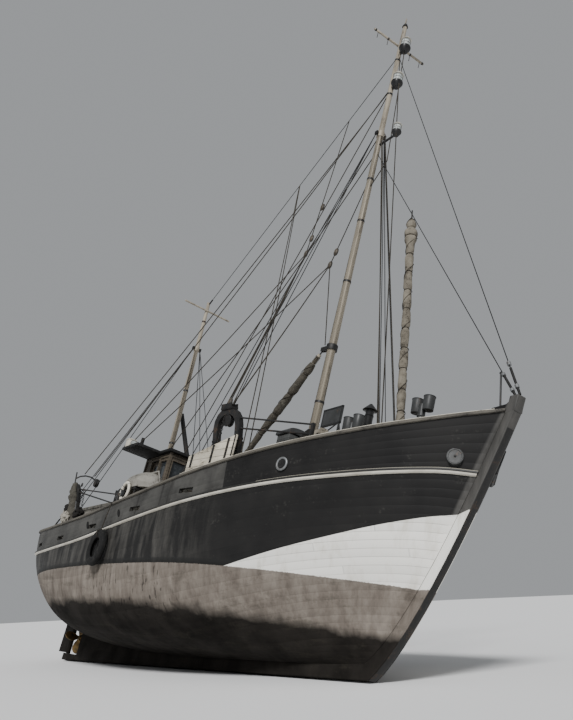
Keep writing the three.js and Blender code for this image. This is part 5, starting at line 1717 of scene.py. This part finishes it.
# %% After gallows
AFT_RISE = 2.15
QUARTER = (-4.27, -2.74, 2.99)
ARM_LINE = [
    (-5.8, -2.92, 3.26), (-5.5, -2.9, 3.3), (-5.1, -2.85, 3.29), (-4.7, -2.77, 3.22), (-4.4, -2.71, 3.1)
]
wheel_z = AFT_RISE - 0.12 - 0.105 - 0.01
extra = [ring_about(0, y, wheel_z, 0.105, 0.015) for y in (0.055, -0.055)]
extra.append(coat(slab((0.29, -0.073, 0.3), (0.405, -0.06, 1.5)), ZINC))
extra += [
    slab((x - 0.07, -0.075, z), (x + 0.07, 0.075, z + 0.05)) for x in (-0.35, 0.35) for z in (0.35, 1.5)
]
extra = in_place(AFT_ARCH, *extra)
extra.append(rope(ARM_LINE, 0.026, 8))
extra.append(rod(QUARTER, (QUARTER[0], -2.63, QUARTER[2]), 0.137, sides=24))
extra.append(ring_about(QUARTER[0], -2.685, QUARTER[2], 0.137, 0.014))
extra += pulley((-5.4, -2.78, 3.02), 0.13)
extra.append(rod((-5.96, -2.92, 3.5), (-5.82, -2.9, 2.98), 0.024))
extra += chain((-5.15, -2.72, 2.86), (-5.05, -2.62, 1.9))
extra += chain((-5.28, -2.74, 2.86), (-5.3, -2.66, 2.05))
remade("aft_gallows", IRON, 0.008, extra)
print("after gallows trim:", len(extra), "parts")

# %% [markdown]
# The otter board that spreads the net stands stowed on the rail beside the fore
# gallows. It is elm boards bound by iron straps with a bolt head on each side, and a
# chain bridle holds it to the gallows.

# %% Otter board
BOARD = Matrix.Translation((3.33, -3.005, 0)) @ Matrix.Rotation(math.radians(6), 4, "Z")
straps = [slab((x - 0.045, -0.04, 2.46), (x + 0.045, 0.04, 2.78 + 0.2 * x)) for x in (0.2, 1.1, 1.72)]
straps.append(slab((1.955, -0.042, 2.62), (1.998, 0.042, 3.18)))
straps += [rod((x, -0.052, z), (x, 0.052, z), 0.02, sides=6) for x in (0.2, 1.1, 1.72) for z in (2.55, 2.72)]
bridle = in_place(BOARD, *straps)
bridle += chain(tuple(BOARD @ Vector((1.1, 0.06, 2.95))), on_arch(-0.1, -0.06, 1.95))
remade("otter_board", BOARD_WOOD, 0.008, coated(IRON, bridle))
print("otter board: straps, bolts and", len(bridle) - len(straps), "links of chain")

# %% [markdown]
# A heap of net has no two lumps alike, so it can't be made of repeated parts. A smooth
# form gets noise along its normals instead, coarse for the folds and then fine for the
# bunches of mesh. The long bundle hangs from the crown of the after gallows, tied three
# times, and more of it lies at the foot.

# %% Net at the after gallows
def crumple(obj, depth, size, seed):
    mesh = obj.data
    for vertex in mesh.vertices:
        spot = vertex.co * size + Vector((seed, 0, 0))
        vertex.co += vertex.normal * depth * (noise.noise(spot) + 0.5 * noise.noise(spot * 2.3))
    return obj


share = np.linspace(0, 1, 60)
radius = np.interp(share, (0, 0.2, 0.5, 0.85, 1), (0.12, 0.2, 0.19, 0.16, 0.08))
bag = rope(np.array([(0.1, -0.1 * t, -0.15 + 2.3 * t) for t in share]), radius, sides=32)
bag.data.transform(Matrix.Diagonal((1.2, 1.0, 1.0, 1.0)))
crumple(crumple(bag, 0.05, 5.0, 3.0), 0.025, 17.0, 6.0)
lashes = [
    hoop((0, 0, z), (0, 0, 1), r, 0.014, 24, 6) for z, r in ((0.45, 0.185), (0.95, 0.17), (1.35, 0.115))
]
hung_net = in_place(AFT_ARCH, bag, *coated(NET, lashes))
bundle = piece("net_bundle_hung", hung_net, DRY_NET, stands_for=["net_bundle"], slot="net_twine", smooth=60)
foot = crumple(ball((-4.6, -2.86, 1.86), 0.24, (1.0, 0.6, 1.0), rings=24), 0.12, 7.0, 8.0)
side_lump = crumple(ball((-5.56, -2.93, 2.1), 0.2, (1.0, 0.6, 1.0), rings=24), 0.08, 6.0, 5.0)
spill = crumple(ball((-5.45, -2.97, 1.78), 0.22, (1.2, 0.5, 1.1), rings=28), 0.12, 8.0, 11.0)
heap = piece(
    "net_spilled_at_gallows", [foot, side_lump, coat(spill, PALE_NET)], NET, slot="net_twine", smooth=60
)
print("hung net:", len(bundle.data.polygons), "faces")

# %% [markdown]
# On the foredeck a heap of net is half covered by a cloth, with a coil of rope thrown
# on top. Each heap is a stack of shrinking rings that leans towards its peak, and is
# then crumpled twice, as the net is.

# %% Heap under its cover
def heaped(centre_low, centre_high, half, bottom, top, rows=34, sides=64):
    turn = np.linspace(0, 2 * np.pi, sides + 1)
    made = []
    for t in np.linspace(0, 1, rows):
        r = max(math.cos(t * 1.35), 0) ** 0.8
        x = centre_low[0] + (centre_high[0] - centre_low[0]) * t
        y = centre_low[1] + (centre_high[1] - centre_low[1]) * t
        level = np.full(sides + 1, bottom + (top - bottom) * t)
        made.append(np.stack([x + half[0] * r * np.cos(turn), y + half[1] * r * np.sin(turn), level], 1))
    return tidy(laid(np.array(made)))


cover = crumple(heaped((7.62, -1.7), (7.3, -1.7), (0.7, 0.36), 2.45, 3.42), 0.11, 2.6, 1.0)
crumple(cover, 0.03, 11.0, 4.0)
netting = crumple(heaped((7.0, -1.75), (6.93, -1.72), (0.42, 0.34), 2.5, 3.4), 0.1, 3.2, 7.0)
crumple(netting, 0.035, 14.0, 9.0)
coils = []
for i in range(5):
    middle = (7.6 + 0.012 * i, -1.75, 3.02 + 0.034 * i)
    coils.append(hoop(middle, (0.15, 0.1, 1), 0.24 - 0.012 * i, 0.018, 32, 6))
heaps = [cover, coat(netting, NET), *coated(MANILA, coils)]
heap = piece("net_heap_covered", heaps, CANVAS, stands_for=["net_heap"], slot="sail_cloth", smooth=60)
print("net heap:", len(heap.data.polygons), "faces")

# %% [markdown]
# Forward stand the companion with its sliding hood, a blank board on legs, the twin
# ventilators and the galley funnel. They are sheet iron and boards under dark paint.

# %% Foredeck fittings
# Dark grey paint brushed over boards, streaked downwards and paler where it is worn
DARK_BOARDS = simple_finish(
    "brushed_dark_grey_on_boards", "#444544", "#383938", "#605E5A", 2.4, (1, 1, 0.4), 0.6,
    planks=("Z", 0.13),
)
# Dark grey paint over sheet iron: smoother and a little glossier, with rust in specks
DARK_SHEET = simple_finish(
    "brushed_dark_grey_on_sheet_iron", "#3C3D3D", "#2E2F2F", "#5A4B40", 3.5, roughness=0.45, wear_from=0.66
)
remade("companion", DARK_BOARDS, 0.01, [coat(slab((5.892, -1.94, 2.6), (5.9, -1.44, 3.3)), TEAK)])
remade("companion_hood", DARK_SHEET, 0.012, smooth=50)
FRAME_Y = (-0.985, -0.935)
frame_bars = [slab((6.17, FRAME_Y[0], z), (6.99, FRAME_Y[1], z + 0.045)) for z in (3.937, 4.378)]
frame_bars += [slab((x, FRAME_Y[0], 3.937), (x + 0.045, FRAME_Y[1], 4.423)) for x in (6.172, 6.943)]
struts = [rod((6.9, FRAME_Y[0], 3.93), (5.95, -1.5, 2.95), 0.018, sides=8)]
remade("sign_board", DARK_SHEET, 0.004, coated(BLACK_GLOSS, frame_bars + struts))
for node, x, y, top in (("vent_aft", 8.23, -1.43, 3.69), ("vent_fore", 9.97, -0.9, 4.04)):
    heads_x = (x - 0.19, x + 0.19)
    rims = [hoop((head_x, y, top - 0.01), (0, 0, 1), 0.13, 0.012, 24, 6) for head_x in heads_x]
    rims += [hoop((x, y, z), (0, 0, 1), 0.09, 0.01, 20, 6) for z in (top - 0.45, top - 0.75)]
    # A black disc on top of each head is painted shade of its opening.
    vent_mouth_shade = [rod((head_x, y, top - 0.004), (head_x, y, top + 0.002), 0.118, sides=20) for head_x in heads_x]
    remade(node, DARK_SHEET, 0.004, rims + coated(BLACK_GLOSS, vent_mouth_shade), smooth=50)
collar_rings = [hoop((8.17, -0.98, z), (0, 0, 1), 0.102, 0.01, 24, 6) for z in (3.2, 3.9)]
remade("galley_funnel", BLACK_GLOSS, 0.003, collar_rings, smooth=50)
print("foredeck at the windlass:", round(float(foredeck_height(LASS_X)), 2), "m")

# %% [markdown]
# At the stem head a timber knee stands up from the rail, with a short pole on it. The
# two stays that come down here end in bottle screws, each a pair of short thick
# sleeves on the wire. The knee is a flat outline given a thickness.

# %% Stem head
knee_line = [
    (11.12, 3.62), (11.15, 3.79), (11.29, 3.87), (11.68, 3.885), (11.79, 3.96), (11.95, 4.01), (11.93, 3.7)
]


def panel(points, thickness):
    bpy.ops.mesh.primitive_circle_add(vertices=len(points), fill_type="NGON")
    made = bpy.context.object
    for vertex, point in zip(made.data.vertices, points):
        vertex.co = point
    return tidy(apply(made, "SOLIDIFY", thickness=thickness, offset=0.0))


knee = panel([(x, 0, z) for x, z in knee_line], 0.25)
piece("bow_knee", knee, TIMBER_PAINT, bevel=0.015, slot="topside_paint")
pole = [rod((11.41, 0, 3.85), (11.29, 0, 4.74), 0.022), ball((11.29, 0, 4.74), 0.035, rings=7)]
piece("bow_pole", pole, IRON, slot="deck_steel")
bottle_screws = []
topmast_stay = Vector((11.92, 0, 4.095)), Vector((fore_x(18.25) + 0.098, 0, 18.25))
forestay = Vector((11.8, 0, 4.095)), Vector((fore_x(14.15) + 0.115, 0, 14.15))
for low, high in (topmast_stay, forestay):
    for share in (0.012, 0.055):
        bottle_screws.append(rod(low.lerp(high, share), low.lerp(high, share + 0.006), 0.046, sides=12))
piece("stay_bottle_screws", bottle_screws, ZINC, slot="galvanised")
print("bottle screws:", len(bottle_screws), "sleeves")

# %% [markdown]
# Small things make the sides: mooring slots and a fairlead ring, each hole filled by a
# dark disc that is painted shade, and a boss by the stem. `on_side` finds the skin at a
# place x forward and z up, and the way that it faces, so a fitting sits flat on the planks.

# %% Mooring slots and fairleads
def on_side(x, z, off=0.0, side=-1):
    s = station_at(x, lambda s: edge(s, z))
    here, out = inside(s, z, -off), inside(s, z, -0.1) - inside(s, z, 0)
    return Vector((here[0], side * here[1], here[2])), Vector((out[0], side * out[1], 0)).normalized()


dark = []
bright = []
at, way = on_side(7.13, 2.32, 0.012)
bright.append(hoop(at, way, 0.145, 0.03, 28, 8))
# A dark disc inside the ring is painted shade of the hole behind it.
dark.append(rod(at - way * 0.03, at + way * 0.006, 0.13, sides=24))
at, way = on_side(10.84, 2.67, 0.02)
face = at + way * 0.03
boss = [
    rod(at - way * 0.05, face, 0.19, 0.175, sides=32),
    hoop(face, way, 0.15, 0.016, 32, 6),
    ball(face, 0.03, rings=8),
]
bright += coated(DARK_SHEET, boss)
SLOT_LEAN, SLOT_SHAPE = 0.7, (0.45, 1.25, 1.0, 1.0)
for x, z in ((-0.24, 1.48), (-2.61, 1.28), (-11.66, 1.88)):
    for side in (-1, 1):
        at, way = on_side(x, z, 0.01, side)
        facing = Matrix.Translation(at) @ way.to_track_quat("Z", "Y").to_matrix().to_4x4()
        oval = Matrix.Rotation(SLOT_LEAN, 4, "Z") @ Matrix.Diagonal(SLOT_SHAPE)
        rim = hoop((0, 0, 0), (0, 0, 1), 0.1, 0.02, 24, 6)
        # The dark disc in each slot is painted shade of the hole.
        slot_mouth_shade = rod((0, 0, -0.02), (0, 0, 0.004), 0.095, sides=20)
        dark += in_place(facing @ oval, rim, slot_mouth_shade)
piece("hull_fairleads", [*bright, *coated(ROOF, dark)], ZINC, slot="galvanised", smooth=50)
print("slots and rings:", len(bright) + len(dark), "parts")

# %% [markdown]
# At the bow the cap's outer edge is scuffed pale, and an iron strip runs down the
# stem's edge, where chain and ice would cut the wood. The anchor is carried there too.

# %% Cap's edge, stem iron and anchor
cap_edge_section = ((-0.05, 0.068), (-0.058, 0.07), (-0.056, 0.079), (-0.03, 0.079))
cap_edge = [corner(inset, height, rail_z) for inset, height in cap_edge_section]
piece("cap_edge_scuffed", swept(5.8, 9.8, cap_edge), STRIPE, slot="rub_paint")

KNOTS = [(8.75, -1.9), (10.12, -0.83), (11.94, 3.76)]
STRIP_HALF = 0.121
strip_section = (
    (-0.03, STRIP_HALF), (0.006, STRIP_HALF * 0.7), (0.01, 0), (0.006, -STRIP_HALF * 0.7),
    (-0.03, -STRIP_HALF),
)
strip = []
for u in np.linspace(0, 0.95, 28):
    w = ((1 - u) ** 2, 1.8 * u * (1 - u), u * u)
    x, z = (sum(a * knot[k] for a, knot in zip(w, KNOTS)) / sum(w) for k in (0, 1))
    strip.append([(x + ahead, y, z) for ahead, y in (*strip_section, strip_section[0])])
piece("stem_iron", tidy(laid(strip)), IRON, slot="deck_steel", smooth=50)
remade("anchor", IRON, 0.008, smooth=50)
print("stem iron follows the stem up to z", round(float(z), 2))

# %% [markdown]
# A ring lifebuoy hangs on the wheelhouse side. It is cork under painted canvas, bound
# by four straps, with a grab line round it that swings out between them. A small reel
# stands next to it.

# %% Ring lifebuoy and reel
RING_AT = Vector((-2.45, -2.292, 2.65))
RING_R = 0.285


def round_ring(a, reach):
    return RING_AT + Vector((math.cos(a), 0, math.sin(a))) * reach


buoy = [hoop(RING_AT, (0, 1, 0), RING_R, 0.06, 48, 14)]
for a in np.radians((45, 135, 225, 315)):
    strap = hoop(round_ring(a, RING_R), (-math.sin(a), 0, math.cos(a)), 0.056, 0.012, 16, 5)
    buoy.append(coat(strap, BLACK_GLOSS))
grab = [round_ring(a, 0.352 + 0.012 * math.cos(4 * a)) for a in np.linspace(0, 2 * np.pi, 49)]
buoy.append(coat(rope(grab, 0.008, 5), MANILA))
piece("life_ring_painted", buoy, WHITE, stands_for=["life_ring"], slot="boat_paint", smooth=60)
REEL_X, REEL_Y, REEL_Z = -2.8, -2.34, 2.56
reel = [rod((REEL_X, REEL_Y, REEL_Z), (REEL_X, REEL_Y + 0.1, REEL_Z), 0.21, sides=28)]
reel.append(ring_about(REEL_X, REEL_Y, REEL_Z, 0.19, 0.02, 28))
piece("hose_reel", reel, DARK_SHEET, bevel=0.006, slot="deck_steel")
print("lifebuoy is", round((RING_R + 0.06) * 2, 2), "m across")

# %% [markdown]
# An old tyre hangs over the side as a fender, by a lanyard from the rail. Its section
# is drawn once, tread, shoulders and the hollow inside, and swept round in a circle.

# %% Tyre fender
TYRE_X, TYRE_Z = -0.88, 0.44
s = deck_station(TYRE_X)
TYRE_Y = -edge(s, deck_z(s))[1] - 0.153
side_wall = [(0.3, 0.045), (0.3, 0.065), (0.35, 0.088), (0.42, 0.098), (0.48, 0.095)]
half_section = side_wall + [(0.515, 0.08), (0.528, 0.06), (0.539, 0.045), (0.539, 0)]
inside_line = [(0.33, -0.04), (0.46, -0.07), (0.49, 0), (0.46, 0.07), (0.33, 0.04)]
section_line = half_section + [(r, -y) for r, y in half_section[-2::-1]] + inside_line + half_section[:1]
turn = np.linspace(0, 2 * np.pi, 57)
tyre_middle = TYRE_Y + 0.03
rows = []
for r, y in section_line:
    rows.append([(TYRE_X + r * math.cos(a), tyre_middle + y, TYRE_Z + r * math.sin(a)) for a in turn])
tyre = tidy(laid(rows), close=False)
hang_from = rail_point(TYRE_X)
over_rail = (TYRE_X, -(hang_from[1] + 0.075), hang_from[2] + 0.06)
lanyard = rope(hung((TYRE_X, TYRE_Y, TYRE_Z + 0.5), over_rail), 0.014, 8)
loop = hoop((TYRE_X, tyre_middle, TYRE_Z + 0.42), (1, 0, 0), 0.13, 0.014, 24, 6)
worn = [tyre, *coated(MANILA, (lanyard, loop))]
piece("tyre_fender_worn", worn, RUBBER, stands_for=["tyre_fender"], slot="tyre_rubber", smooth=50)
print("tyre hangs at y", round(float(TYRE_Y), 2))

# %% [markdown]
# The side lights look forward out of their boxes on the wheelhouse's wings. Each is a
# disc of lantern glass in a galvanised ring.

# %% Side lights
lamps = []
for side in (1, -1):
    y = side * LAMP_Y
    lens = rod((-3.79, y, LAMP_Z), (-3.772, y, LAMP_Z), 0.098, sides=24)
    lamps += [coat(lens, LAMP), hoop((-3.782, y, LAMP_Z), (1, 0, 0), 0.104, 0.012, 28, 6)]
piece("sidelight_lenses", lamps, ZINC, slot="galvanised")
print("side lights:", len(lamps) // 2)
